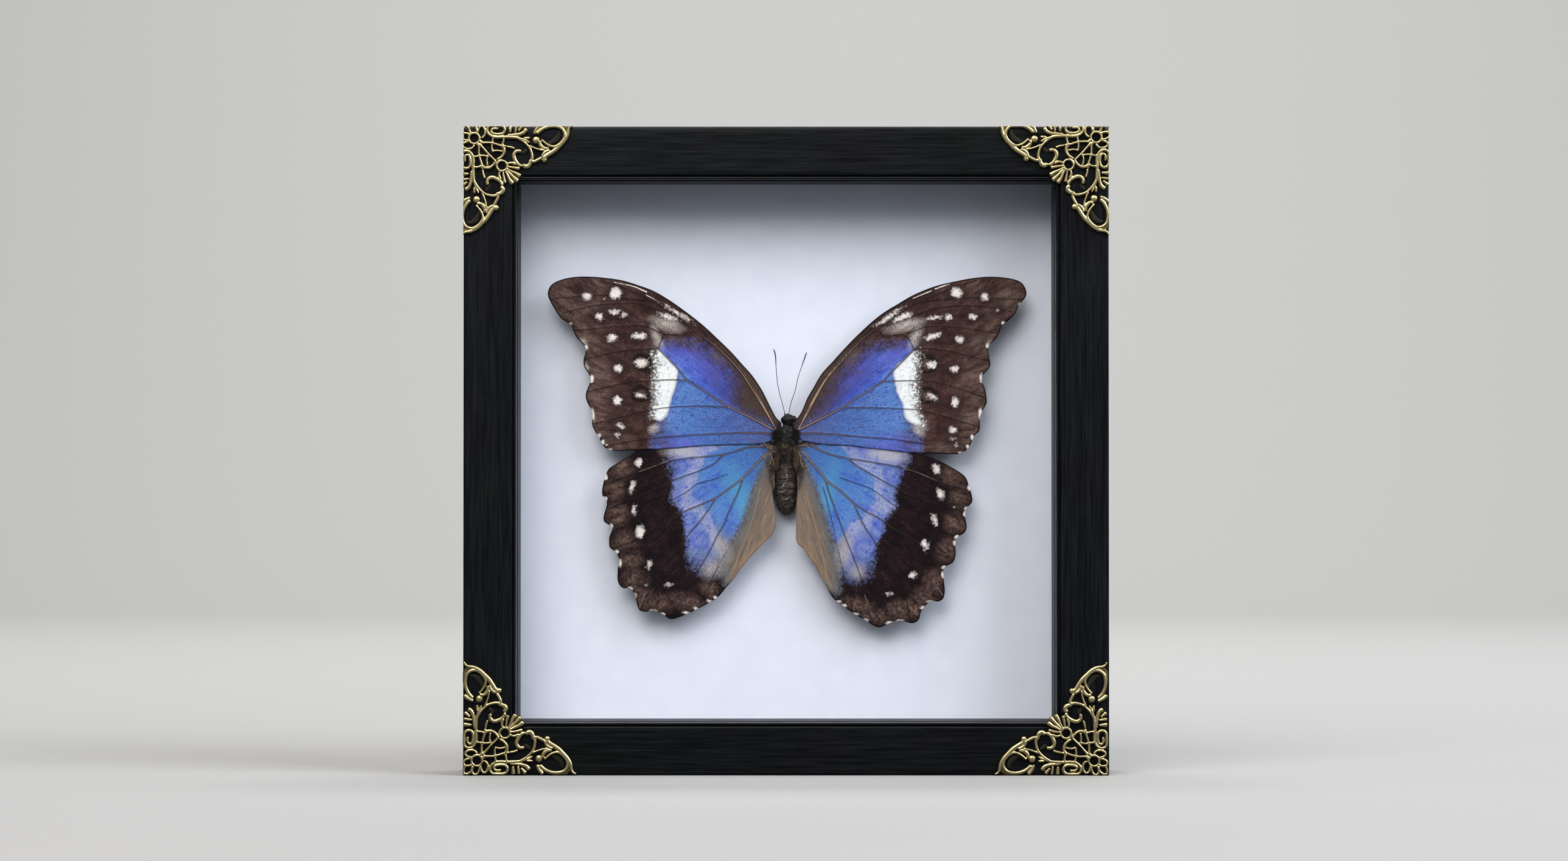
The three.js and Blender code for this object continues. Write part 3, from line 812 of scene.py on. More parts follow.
@dataclass(frozen=True)
class WingScales:
    """Wing scales on a thin membrane: a satin dust of tiny plates, rubbed thin in places.

    The mesh stores signed distances, in millimetres, to the edges of each patch of colour. A patch
    shows where its distance is negative, and noise frays that edge into scales. The scales of a real
    wing are 0.1 to 0.2 mm long; the speckle here is 0.2 to 0.8 mm, so that it shows.
    """

    name: str
    brown_dark: str = "2b1a18"
    brown: str = "4e322d"
    brown_pale: str = "a68f83"
    field: str = "2450d4"
    field_bright: str = "4787d6"
    field_deep: str = "22307c"
    field_pale: str = "a0abd0"
    field_side: str = "5a5cc0"
    field_root: str = "574e70"
    scuff: str = "4a5578"
    white: str = "fafaf7"
    white_dust: str = "aebccb"
    streak: str = "f4e9e3"
    chalk: str = "d9cfc8"
    pale: str = "aeb2cc"
    spot: str = "f4e9e3"
    vein: str = "6f5f57"
    vein_root: str = "705747"
    # a painted highlight down the middle of each vein
    vein_painted_highlight: str = "b3987f"
    vein_far: str = "33231f"
    fold: str = "857262"
    fold_dark: str = "5f5652"
    fold_vein: str = "b09a84"
    fold_rust: str = "b08a62"
    fold_edge: str = "6f7c86"
    rim: str = "140d0c"
    root_dust: str = "473d36"
    dusting: float = 0.4
    greying: float = 0.28
    root_reach: float = 31.0
    grains: tuple[tuple[str, Grain], ...] = (
        ("ragged", Grain(0.8, 4.0, 0.8)), ("fine", Grain(0.2, 1.0, 0.6)), ("dust", Grain(0.42, 3.0, 0.6)),
        ("patches", Grain(3.0, 4.0, 0.6)), ("flecks", Grain(1.3, 2.0, 0.6)))
    edges: tuple[tuple, ...] = (
        ("blue", 1.0, 0.75, ("blue_fray",)), ("bright", 1.5, 1.3), ("fold", 1.1, 1.3), ("spot", 0.6, 0.35),
        ("white", 1.25, 0.4, ("white_fray",)), ("streak", 0.06, 0.1), ("notch", 0.2, 0.2))
    marks: tuple[str, ...] = (
        "blue", "bright", "white", "fold", "spot", "streak", "notch", "pale", "chalk", "fade", "margin",
        "deep", "side", "ring", "grey", "vein", "edge", "blue_fray", "white_fray", "root", "turn")
    streaks_around: float = 44.0
    streak_length: float = 6.25

    def build(self) -> Material:
        """Makes the finish."""
        material, tree = new_material(self.name)
        paint = Painter(tree, self.marks)
        known = paint.sources
        place = {"Vector": add_node(tree, "TexCoord").outputs["Object"]}
        for name, grain in self.grains:
            known[name] = add_node(tree, "TexNoise", grain.settings(), place)
        # streaks that run out from the hinge: narrow across and long along
        across, along = (
            add_node(tree, "Math", {"operation": "MULTIPLY", 1: factor}, {0: known[name]})
            for name, factor in (("turn", self.streaks_around), ("root", 1 / self.streak_length)))
        known["flow"] = add_node(tree, "TexNoise", {"Scale": 1.0, "Detail": 4.0, "Roughness": 0.65},
                                 {"Vector": add_node(tree, "CombineXYZ", {}, {"X": across, "Y": along})})
        for name, fray, soft, *strength in self.edges:
            known["on_" + name] = paint.frayed(name, fray, soft, *strength)
        known["grainy"] = add_node(tree, "Math", {"operation": "ADD"}, {0: known["fine"], 1: known["flow"]})
        known["worn"] = paint.mask(("fade",), ("grainy", 1.25, 0.72))
        dusty = {0: paint.mask(("white", -1.7, -0.2)), 1: paint.mask(("flow", 0.5, 0.38))}
        known["dusty"] = add_node(tree, "Math", {"operation": "MAXIMUM"}, dusty)
        covered = {0: known["on_blue"], 1: known["on_fold"]}
        known["covered"] = add_node(tree, "Math", {"operation": "MAXIMUM"}, covered)

        # bare brown wing, with pale scales that thin out in patches and dark rings round the spots
        brown = paint.lay(
            self.brown_dark,
            (self.brown, ("patches", 0.36, 0.64)),
            (self.brown_pale, ("flow", 0.46, 0.28, 0.0, 0.3 * self.dusting)),
            (self.brown_dark, ("flow", 0.5, 0.68, 0.0, 0.75)),
            (self.brown_pale, ("grey",), ("ragged", 0.4, 0.66, 0.1, 1.4 * self.greying),
             ("flow", 0.66, 0.42, 0.3, 0.8)),
            (self.brown_pale, ("dust", 0.54, 0.7, 0.0, self.dusting), ("patches", 0.42, 0.62, 0.2, 1.0)),
            (self.brown_dark, ("fine", 0.48, 0.7, 0.0, 0.7)),
            (self.root_dust, ("root", 36.0, 14.0), ("fine", 0.34, 0.6, 0.15, 0.85)),
            (self.brown_pale, ("margin",), ("flow", 0.62, 0.38), ("fine", 0.4, 0.62, 0.0, 0.32)),
            (self.brown_dark, ("spot", 2.6, 0.8, 0.0, 0.6)),
            (self.rim, ("ring", 1.2, 0.92), ("ring", 0.5, 0.78, 0.0, 0.9)),
            (self.brown_pale, ("ring", 0.6, 0.4), ("fine", 0.42, 0.6, 0.0, 0.25)))

        # blue field: its scales reflect a deeper or brighter blue from patch to patch
        blue = paint.lay(
            self.field,
            (self.field_bright, ("on_bright",)),
            (self.field_side, ("patches", 0.5, 0.72, 0.0, 0.42)),
            (self.field_pale, ("flow", 0.52, 0.72, 0.0, 0.2)),
            (self.field_pale, ("dust", 0.54, 0.72, 0.0, 0.4)),
            (self.pale, ("pale",), ("dust", 0.35, 0.65, 0.5, 0.9)),
            (self.field_deep, ("deep",), ("ragged", 0.35, 0.6)),
            (self.field_pale, ("root", 16.0, 38.0, 0.0, 0.3)),
            (self.field_deep, ("ring", 1.2, 0.95), ("ring", 0.5, 0.8, 0.0, 0.4)),
            (self.field_deep, ("flow", 0.48, 0.36, 0.0, 0.5)),
            (self.field_deep, ("fine", 0.48, 0.72, 0.0, 0.85)),
            (self.scuff, ("patches", 0.43, 0.62), ("dust", 0.5, 0.62, 0.0, 0.75)),
            (self.field_deep, ("root", 34.0, 10.0), ("dust", 0.48, 0.6, 0.0, 0.6)),
            (self.field_deep, ("flecks", 0.62, 0.68, 0.0, 0.7)),
            (self.field_deep, ("patches", 0.52, 0.38, 0.0, 0.3)),
            (self.field_side, ("side",), ("ragged", 0.3, 0.6, 0.1, 0.9)),
            (self.field_root, ("root", self.root_reach, 5.0), ("ragged", 0.36, 0.62, 0.25, 0.95)))

        # the naked fold beside the body
        fold = paint.lay(
            self.fold_dark,
            (self.fold, ("fold", -0.5, -4.5)),
            (self.fold_dark, ("flow", 0.44, 0.6, 0.0, 0.7)),
            (self.fold_vein, ("flow", 0.44, 0.3, 0.0, 0.3)),
            (self.fold_dark, ("dust", 0.5, 0.72, 0.0, 0.5)),
            (self.fold_rust, ("edge", 2.4, 0.3), ("root", 22.0, 30.0, 0.0, 0.3)),
            (self.fold_edge, ("fold", -2.8, 0.4), ("dust", 0.4, 0.58, 0.2, 0.9)))

        vein = paint.lay(self.vein, (self.vein_far, ("root", 28.0, 44.0)), (self.vein, ("on_blue",)),
                         (self.fold_vein, ("on_fold",)), (self.vein_root, ("root", 26.0, 8.0)))

        # one over the other, then the white patch, the chalky dust, the veins with their painted shade and
        # highlight, the spots and the dark rim
        colour = paint.lay(
            brown,
            (blue, ("on_blue",), ("worn", 0.0, 1.0, 1.0, 0.05)),
            (fold, ("on_fold",)),
            (self.white, ("white", 0.9, -0.1), ("fine", 0.42, 0.62), ("white_fray", 0.0, 1.0, 0.0, 0.4)),
            (self.white, ("on_white",)),
            (self.white_dust, ("on_white",), ("dusty",), ("ragged", 0.42, 0.64, 0.1, 0.85)),
            (self.chalk, ("chalk",), ("fine", 0.36, 0.6, 0.15, 0.95), ("flow", 0.66, 0.4, 0.5, 1.0)),
            # painted shade along both sides of each vein, in the rim colour
            (self.rim, ("vein", 0.2, -0.02, 0.0, 0.7), ("on_fold", 0.0, 1.0, 1.0, 0.2)),
            (vein, ("vein", -0.06, -0.15, 0.0, 0.95)),
            (self.fold_vein, ("vein", 0.08, -0.06, 0.0, 0.6), ("on_fold",)),
            # painted highlight down the middle of each vein
            (self.vein_painted_highlight, ("vein", -0.19, -0.25, 0.0, 0.8)),
            (self.spot, ("on_spot",), ("fine", 0.3, 0.52, 0.5, 1.0)),
            (self.streak, ("on_streak",)),
            (self.rim, ("edge", 0.5, 0.3), ("covered", 0.0, 1.0, 0.85, 0.05)),
            (self.spot, ("on_notch",)),
            (self.rim, ("root", 4.6, 2.2, 0.0, 0.8)))

        bump = add_node(tree, "Bump", {"Strength": 0.3, "Distance": 0.05 * MM}, {"Height": known["ragged"]})
        rough = paint.mask(("dust", 0.35, 0.65, 0.5, 0.68))
        surface(tree, {"Specular IOR Level": 0.06},
                {"Base Color": colour, "Roughness": rough, "Normal": bump})
        return material


# ---------------------------------------------------------------- the box


@dataclass
class Moulding:
    """The four black rails: a flat face, a groove, a small bead at the sight edge and a rabbet behind.

    The section is a list of (distance in from the outer edge, distance back from the front face).
    """

    face: float = 13.6
    sight: float = 14.7
    lip: float = 4.0
    rabbet: float = 11.0
    depth: float = 28.0
    mitre_gap: float = 0.1
    steps: int = 90
    waviness: float = 0.035
    crease: float = 40.0
    finish: LacqueredWood = field(default_factory=LacqueredWood)

    def section(self) -> list[Point]:
        """The rail's section, with its edges rounded."""
        f, s = self.face, self.sight
        points: list[Point] = [(0, self.depth - 0.3), (0, 14.0), (0, 4.0)]
        points += [(0.6 - 0.6 * math.cos(a), 0.6 - 0.6 * math.sin(a)) for a in np.linspace(0, math.pi / 2, 6)]
        points += [(x, 0.0) for x in (2.5, 5.0, 7.5, 10.0, 12.3)]
        points += [(f - 0.3 + 0.3 * math.sin(a), 0.3 - 0.3 * math.cos(a))
                   for a in np.linspace(0, math.pi / 2, 5)]
        points += [(f + 0.04, 0.7), (f + 0.12, 0.9), (f + 0.28, 0.9), (f + 0.38, 0.75)]
        bead_x, bead_y, bead_r = (f + 0.4 + s) / 2, 0.66, (s - f - 0.4) / 2
        points += [(bead_x - bead_r * math.cos(a), bead_y - bead_r * math.sin(a))
                   for a in np.linspace(0.35, math.pi - 0.25, 7)]
        points += [(s, 0.9), (s, 2.4), (s, self.lip - 0.15), (s - 0.15, self.lip), (self.rabbet, self.lip)]
        points += [(self.rabbet, 16.0), (self.rabbet, self.depth - 0.2), (self.rabbet - 0.2, self.depth),
                   (0.3, self.depth)]
        return points

    def build(self) -> None:
        """Builds the four rails."""
        for side in Side:
            self.rail(side)

    def rail(self, side: Side) -> None:
        """Builds one rail, whose faces wander by a few hundredths of a millimetre.

        Args:
            side: which rail.
        """
        section = self.section()
        length = FRAME_WIDTH if side in (Side.TOP, Side.BOTTOM) else FRAME_HEIGHT
        seed = 11.0 * list(Side).index(side)
        verts = []
        for step in range(self.steps + 1):
            along = 2 * step / self.steps - 1
            for inset, depth in section:
                run = along * (length / 2 - inset - self.mitre_gap)
                wander = self.waviness * (1 + soft_noise(run, inset, 9.0, seed)) / 2
                shown_inset = inset + (wander if inset < 1 else 0)
                shown_depth = depth + (wander if depth < 1 else 0)
                verts.append(self.place(side, run, shown_inset, shown_depth))
        count = len(section)
        faces: list = loft_faces(self.steps + 1, count)
        faces.append(tuple(range(count))[::-1])
        faces.append(tuple(range(self.steps * count, (self.steps + 1) * count)))
        if side in (Side.TOP, Side.LEFT):
            faces = [face[::-1] for face in faces]
        piece = new_piece(f"moulding_{side.value}", verts, faces, self.finish.build(side), "black_wood",
                          [f"rail_{side.value}"])
        mark_sharp(piece, self.crease)

    @staticmethod
    def place(side: Side, run: float, inset: float, depth: float) -> tuple[float, float, float]:
        """Where a point of a rail's section stands, in millimetres."""
        if side is Side.BOTTOM:
            return run, FRONT + depth, inset
        if side is Side.TOP:
            return run, FRONT + depth, FRAME_HEIGHT - inset
        x = -FRAME_WIDTH / 2 + inset if side is Side.LEFT else FRAME_WIDTH / 2 - inset
        return x, FRONT + depth, FRAME_HEIGHT / 2 + run


def mark_sharp(piece: Object, angle: float) -> None:
    """Keeps edges sharper than an angle, in degrees, from being shaded as one smooth surface."""
    mesh = bmesh.new()
    mesh.from_mesh(piece.data)
    limit = math.radians(angle)
    for edge in mesh.edges:
        edge.smooth = len(edge.link_faces) == 2 and edge.calc_face_angle(0.0) < limit
    mesh.to_mesh(piece.data)
    mesh.free()


@dataclass
class FlatSheets:
    """The sheets that fill the rabbet: glass, spacer strips, card and back panel."""

    glass_edge: float = 0.2
    strip_edge: float = 0.15
    card_edge: float = 0.1
    panel_edge: float = 0.25

    @staticmethod
    def block(node: str, name: str, material: Material, slot: str, edge: float) -> Object:
        """Builds a sheet or strip over the box of its CAD node, with eased edges.

        Args:
            node: the CAD node.
            name: the new piece's name.
            material: its finish.
            slot: the record's material slot.
            edge: width of the eased edges, in millimetres.

        Returns:
            The piece.
        """
        low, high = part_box(node)
        verts, faces = box_mesh(np.array(low) / MM, np.array(high) / MM)
        piece = new_piece(name, verts, faces, material, slot, [node], smooth=False)
        add_bevel(piece, edge)
        return piece

    def build(self) -> None:
        """Builds all the sheets and strips."""
        glass = self.block("glass_pane", "glass", FloatGlass().build(), "glass", self.glass_edge)
        glass.visible_shadow = False
        strip = PaintedStrip().build()
        for side in (s.value for s in Side):
            self.block(f"spacer_{side}", f"spacer_strip_{side}", strip, "black_strip", self.strip_edge)
        self.block("backing_card", "white_backing_card", WhiteCard().build(), "white_card", self.card_edge)
        self.block("back_panel", "hardboard_back", Hardboard().build(), "hardboard", self.panel_edge)


@dataclass
class Hardware:
    """What holds the back in and the box up: eight bent tabs, a sawtooth plate and two nails."""

    tab_bend: float = 0.9
    tab_edge: float = 0.1
    plate_edge: float = 0.12
    finish: ZincSteel = field(default_factory=ZincSteel)

    def build(self) -> None:
        """Builds every metal fitting on the back."""
        steel = self.finish.build()
        for side in Side:
            for label in "ab":
                self.tab(side, label, steel)
        for node in ("hanger_plate", "hanger_nail_left", "hanger_nail_right"):
            self.fitting(node, steel)

    def tab(self, side: Side, label: str, steel: Material) -> None:
        """Builds one tab: a strip with a rounded nose that is bent a little off the panel.

        Args:
            side: the rail that it is pressed into.
            label: a or b.
            steel: its finish.
        """
        node = f"tab_{side.value}_{label}"
        low, high = (np.array(v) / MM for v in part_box(node))
        middle, half = (low + high) / 2, (high - low) / 2
        long_axis = 2 if side in (Side.TOP, Side.BOTTOM) else 0
        wide_axis = 2 - long_axis
        inward = 1.0 if side in (Side.BOTTOM, Side.LEFT) else -1.0
        verts, faces = box_mesh((-1, -1, -1), (1, 1, 1), (6, 1, 6))
        placed = []
        for x, y, z in verts:
            along = (z if long_axis == 2 else x) * inward
            across = x if long_axis == 2 else z
            nose = max(0.0, along - 0.5) / 0.5
            width = half[wide_axis] * (1 - 0.45 * nose * nose)
            point = [0.0, 0.0, 0.0]
            point[long_axis] = middle[long_axis] + along * inward * half[long_axis]
            point[wide_axis] = middle[wide_axis] + across * width
            point[1] = middle[1] + y * half[1] + self.tab_bend * max(0.0, along) ** 2
            placed.append(point)
        piece = new_piece(f"steel_{node}", placed, faces, steel, "zinc_steel", [node], smooth=False)
        add_bevel(piece, self.tab_edge)

    def fitting(self, node: str, steel: Material) -> None:
        """Rebuilds a hanger part from its CAD node, welded and with eased edges.

        Args:
            node: the CAD node.
            steel: its finish.
        """
        mesh = bmesh.new()
        mesh.from_mesh(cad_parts[node].data)
        bmesh.ops.remove_doubles(mesh, verts=mesh.verts, dist=1e-6)
        bmesh.ops.dissolve_limit(mesh, angle_limit=math.radians(2), verts=mesh.verts, edges=mesh.edges)
        data = bpy.data.meshes.new(node)
        mesh.to_mesh(data)
        mesh.free()
        piece = bpy.data.objects.new(f"steel_{node}", data)
        register(piece, steel, [node], smooth=False)
        add_bevel(piece, self.plate_edge)


# ---------------------------------------------------------------- filigree corners


@dataclass(frozen=True)
class Wire:
    """One raised wire of the filigree: its route, and its width at the start, middle and end."""

    route: Sequence[Point]
    start: float = 0.55
    middle: float = 0.6
    end: float = 0.55
    height: float = 1.0
    both: bool = True


@dataclass
class CornerFiligree:
    """A cast brass corner, drawn for the lower left and turned into the other three.

    All routes are in millimetres along the two edges from the frame's corner. The left leg is the
    mirror image of the bottom leg on the diagonal.
    """

    thickness: float = 1.12
    flush: float = 0.02
    sunk: float = 0.03
    foot: float = 0.1
    spread: float = 0.2
    voxel: float = 0.12
    step: float = 0.3
    finish: AntiqueBrass = field(default_factory=AntiqueBrass)
    wires: Sequence[Wire] = (
        # corner flower: its petals stand round a ring
        Wire(((3.9, 6), (3.1, 6.8), (1.9, 6.9), (0.9, 6.5), (0.6, 5.9), (1, 5.3), (2.4, 4.8))),
        Wire(((2.4, 4.7), (1.1, 4.4), (0.3, 3.9), (0.1, 3.2), (0.7, 2.6), (1.8, 2.6), (2.6, 3))),
        Wire(((0.6, 2.5), (0.2, 1.5), (0.2, 0.6), (0.8, 0.2), (1.6, 0.5), (2.3, 1.2),
              (2.6, 2.3)), both=False),
        # web behind the flower
        Wire(((4.7, 5.5), (5.4, 6.1)), 0.9, 0.9, 0.8),
        Wire(((5.2, 6), (5.2, 8.1), (5.4, 9.3), (6.1, 11.6)), 0.6, 0.5, 0.6),
        Wire(((5.4, 5.6), (7.7, 8.2), (9.8, 10.3)), 0.6, 0.5, 0.55, both=False),
        Wire(((3.6, 9.2), (5.2, 8.9), (6.4, 8.8), (7.7, 9)), 0.5, 0.5, 0.5),
        Wire(((3.7, 12.1), (5, 12), (6, 11.6)), 0.55, 0.55, 0.6),
        Wire(((7.7, 9), (7.4, 10), (7.6, 11.6)), 0.5, 0.45, 0.5),
        Wire(((6.1, 11.7), (6.9, 12.2), (8, 12.2), (9.1, 11.5), (9.9, 10.3)), 0.85, 0.75, 0.6),
        Wire(((6.1, 11.7), (6.2, 12.7)), 0.9, 0.7, 0.5),
        Wire(((6.3, 13), (6.4, 13.9), (6.8, 15.1)), 0.5, 0.6, 0.6),
        # the long stem, its branches and its spiral
        Wire(((8.8, 3.5), (10.5, 3.7), (11.8, 3.6), (13.2, 3.6), (15, 3.7), (16.1, 3.9), (17.8, 4.4),
              (19.3, 5.1)), 0.8, 0.9, 0.4),
        Wire(((16.1, 4), (17.6, 4.9), (18.8, 6), (19.6, 7.2), (20, 8.7), (20, 9.6),
              (19.7, 10.3)), 0.6, 0.6, 0.9),
        Wire(((19.3, 6.1), (20.7, 6.7), (22.3, 7.2), (23.4, 7.3)), 0.5, 0.45, 0.4),
        Wire(((17.8, 3.9), (19.3, 3.9))),
        Wire(((8.8, 3.4), (7.9, 2.8), (7.5, 1.7), (7.9, 0.6), (8.9, 0.3), (10.7, 0.3), (11.9, 0.6),
              (12.4, 1.5), (12.1, 2.4), (11.2, 2.8), (10, 2.8), (8.9, 2.5), (8.6, 1.9), (9.1, 1.3),
              (10.5, 1.3)), 0.65, 0.8, 0.6),
        # comb of leaves under the stem
        Wire(((13.9, 2.3), (14, 0.3)), 0.6, 0.9, 1.2),
        Wire(((15.3, 2.3), (15.6, 0.3)), 0.5, 0.7, 0.8),
        Wire(((16.2, 1.9), (17.3, 0.5)), 0.5, 0.8, 1.1),
        Wire(((13.2, 3.1), (15, 3), (16.6, 2.8), (17.7, 2.3), (18.3, 1.5)), 0.5, 0.8, 1.2),
        # scroll around the open eye
        Wire(((17.1, 11.7), (16.1, 11.2), (15.3, 10.1), (14.9, 9), (15.1, 8.1), (15.9, 7.5),
              (16.9, 7.6)), 0.8, 1.15, 0.85),
        Wire(((17.6, 11.4), (18.2, 11.9), (18.9, 11.7), (19.4, 11), (19.5, 10.1)), 1.1, 1.35, 0.85),
        Wire(((17.1, 8.3), (17.9, 7.7), (18.6, 7.2)), 0.7, 1.1, 0.9, 0.4),
        # outer contour, with its knob and its pointed tail
        Wire(((19.8, 10.4), (20.5, 10.5), (21.4, 10.1), (22.5, 9.5)), 0.7, 0.85, 0.8),
        Wire(((23.9, 8.9), (25.2, 8.1), (26.6, 7.1), (28, 5.6), (29.1, 4.4), (29.9, 3), (30.2, 1.4),
              (30.7, 0.6), (31.4, 0.3)), 1.15, 1.35, 0.45),
        Wire(((23.2, 9.6), (23.9, 8.9)), 1.4, 1.3, 1.15),
        Wire(((22.8, 9.4), (23.2, 8.3), (24.1, 7.6), (24.9, 7.4)), 0.8, 0.9, 0.5),
        Wire(((30, 2.6), (29.5, 1.2), (28.2, 0.3), (25.7, 0.2)), 0.9, 0.9, 0.6, 0.7),
        # teardrop loop, the leaf beside it and the strokes at its foot
        Wire(((21.4, 2.6), (22.7, 1.5), (24.3, 0.8), (26.1, 0.6), (27.9, 1), (28.9, 2.1), (29.1, 3.5),
              (28.4, 4.8), (27.3, 5.8), (26.1, 6.3), (24.8, 6), (23.7, 5.3), (22.7, 4.4)), 1, 0.85, 0.5),
        Wire(((22.3, 4.8), (22.2, 5.6), (22.8, 6.4), (23.6, 6.8), (24.6, 6.9)), 0.7, 1.15, 0.7),
        Wire(((20.6, 2.7), (21.2, 1.4), (22.1, 0.3)), 0.8, 1, 1),
        Wire(((24.4, 5.5), (25.7, 4.9), (26.8, 4.2), (27.5, 3), (27.5, 1.9)), 0.8, 1.6, 0.6, 0.35),
        # the fan of petals over the sight corner: a broad tip and a narrow foot for each
        Wire(((12.8, 12.8), (14, 14), (15, 15), (15.9, 15.9)), 0.35, 0.7, 1.25, both=False),
        Wire(((13, 12.5), (14.3, 13.2), (15.4, 13.7), (16.6, 14.5)), 0.35, 0.7, 1.3),
        Wire(((13.2, 11.9), (14.6, 12.1), (15.6, 12.3), (16.4, 12.5)), 0.4, 0.6, 0.85),
        Wire(((13.1, 11.1), (14.2, 10.8), (15.5, 11.2)), 0.45, 0.7, 0.75),
    )
    rings: Sequence[tuple[float, float, float]] = ((3.85, 4.0, 1.5), (11.6, 11.65, 1.45))
    balls: Sequence[tuple[float, float, float]] = ((21.1, 4.5, 1.08), (23.4, 10.0, 0.84))

    def drawing(self) -> list[Wire]:
        """Every wire of the corner, with the left leg mirrored from the bottom leg."""
        wires = []
        for wire in self.wires:
            wires.append(wire)
            if wire.both:
                turned = tuple((v, u) for u, v in wire.route)
                wires.append(Wire(turned, wire.start, wire.middle, wire.end, wire.height))
        for u, v, radius in self.rings:
            turn = np.linspace(0, 2 * math.pi, 25)
            ring = tuple((u + radius * math.cos(a), v + radius * math.sin(a)) for a in turn)
            wires.append(Wire(ring))
        return wires

    def solid(self) -> bpy.types.Mesh:
        """Casts one corner: the wires are melted together and smoothed.

        Returns:
            The mesh, in metres, lying in X and Z with its back at Y = 0.
        """
        parts = []
        for wire in self.drawing():
            path = smooth_path(wire.route, self.step)
            t = np.linspace(0, 1, len(path))
            width = self.spread + np.interp(t, (0, 0.5, 1), (wire.start, wire.middle, wire.end))
            rise = self.thickness * wire.height
            verts, faces = tube_mesh(lifted(path, -rise / 2, 0.0), width / 2)
            verts[:, 1] = -rise / 2 + (verts[:, 1] + rise / 2) * rise / np.repeat(
                np.concatenate([width, [width[0], width[-1]]]), [10] * len(path) + [1, 1])
            parts.append((verts, faces))
        for u, v, radius in self.balls:
            for a, b in {(u, v), (v, u)}:
                parts.append(ball_mesh((a, -self.thickness / 2, b), (radius, self.thickness / 2, radius)))
        verts, faces = joined(parts)
        mesh = bpy.data.meshes.new("filigree_wires")
        mesh.from_pydata((verts * MM).tolist(), [], faces)
        rough = bpy.data.objects.new("filigree_wires", mesh)
        bpy.context.scene.collection.objects.link(rough)
        remesh = rough.modifiers.new("melt", "REMESH")
        remesh.mode, remesh.voxel_size = "VOXEL", self.voxel * MM
        ease = rough.modifiers.new("ease", "SMOOTH")
        ease.factor, ease.iterations = 0.5, 3
        thin = rough.modifiers.new("thin", "DECIMATE")
        thin.ratio = 0.5
        cast = applied(rough)
        bpy.data.objects.remove(rough)
        return cast

    def build(self) -> None:
        """Builds the four corners, each trimmed flush with the outside of the frame."""
        cast = self.solid()
        brass = self.finish.build()
        shifts = {"bottom_left": (0.1, 0.25), "bottom_right": (0.5, 0.15), "top_left": (-0.85, -0.6),
                  "top_right": (-0.3, -0.9)}
        for corner, (shift_u, shift_v) in shifts.items():
            self.place(cast, corner, shift_u, shift_v, brass)

    def place(self, cast: bpy.types.Mesh, corner: str, shift_u: float, shift_v: float,
              brass: Material) -> None:
        """Sets one corner on the frame.

        Args:
            cast: the corner's mesh.
            corner: which corner of the frame.
            shift_u: how far it is set in from the frame's side, in millimetres.
            shift_v: how far it is set in from the frame's top or bottom, in millimetres.
            brass: its finish.
        """
        mesh = bmesh.new()
        mesh.from_mesh(cast)
        right, top = "right" in corner, "top" in corner
        reach = FRAME_WIDTH / 2 - self.flush
        for vert in mesh.verts:
            u, v = vert.co.x / MM + shift_u, vert.co.z / MM + shift_v
            x = FRAME_WIDTH / 2 - u if right else u - FRAME_WIDTH / 2
            z = FRAME_HEIGHT - v if top else v
            vert.co = Vector((x * MM, vert.co.y + (FRONT - self.sunk) * MM, z * MM))
        height = FRAME_HEIGHT - self.flush if top else self.foot
        for point, normal in (((reach if right else -reach, 0, 0), (1 if right else -1, 0, 0)),
                              ((0, 0, height), (0, 0, 1 if top else -1))):
            cut = bmesh.ops.bisect_plane(mesh, geom=mesh.verts[:] + mesh.edges[:] + mesh.faces[:],
                                         plane_co=Vector(point) * MM, plane_no=normal, clear_outer=True)
            rim = [e for e in cut["geom_cut"] if isinstance(e, bmesh.types.BMEdge)]
            bmesh.ops.edgenet_fill(mesh, edges=rim)
        if right != top:
            bmesh.ops.reverse_faces(mesh, faces=mesh.faces[:])
        bmesh.ops.recalc_face_normals(mesh, faces=mesh.faces[:])
        data = bpy.data.meshes.new(corner)
        mesh.to_mesh(data)
        mesh.free()
        depth = np.array([v.co.y for v in data.vertices]) / MM
        set_attribute(data, "rise", np.clip((FRONT - depth) / self.thickness, 0, 1))
        register(bpy.data.objects.new(f"filigree_{corner}", data), brass,
                 [f"corner_ornament_{corner}"])


# ---------------------------------------------------------------- the butterfly's wings


@dataclass(frozen=True)
class Spot:
    """An oval mark: its middle, its width and height in millimetres, and its turn in degrees."""

    x: float
    z: float
    width: float
    height: float
    turn: float = 0.0

    def reach(self, points: np.ndarray) -> np.ndarray:
        """How far out points lie, as a share of the oval's radius: 1 is on its rim."""
        angle = math.radians(self.turn)
        dx, dz = points[:, 0] - self.x, points[:, 1] - self.z
        along = dx * math.cos(angle) + dz * math.sin(angle)
        across = dz * math.cos(angle) - dx * math.sin(angle)
        return np.sqrt((2 * along / self.width) ** 2 + (2 * across / self.height) ** 2)

    def distance(self, points: np.ndarray) -> np.ndarray:
        """Signed distance to the rim, negative inside."""
        return (self.reach(points) - 1) * min(self.width, self.height) / 2


@dataclass(frozen=True)
class Line:
    """A vein or streak: its route, and its width at the start and the end."""

    route: Sequence[Point]
    start: float
    end: float

    def distance(self, points: np.ndarray, scale: float = 1.0, least: float = 0.0) -> np.ndarray:
        """Signed distance to the line's edge, negative inside.

        Args:
            points: one row for each point.
            scale: factor on the line's width.
            least: the least width.

        Returns:
            One distance for each point.
        """
        away, place = segment_distance(points, smooth_path(self.route, 0.8))
        width = np.maximum(scale * (self.start + (self.end - self.start) * place), least)
        return away - width / 2


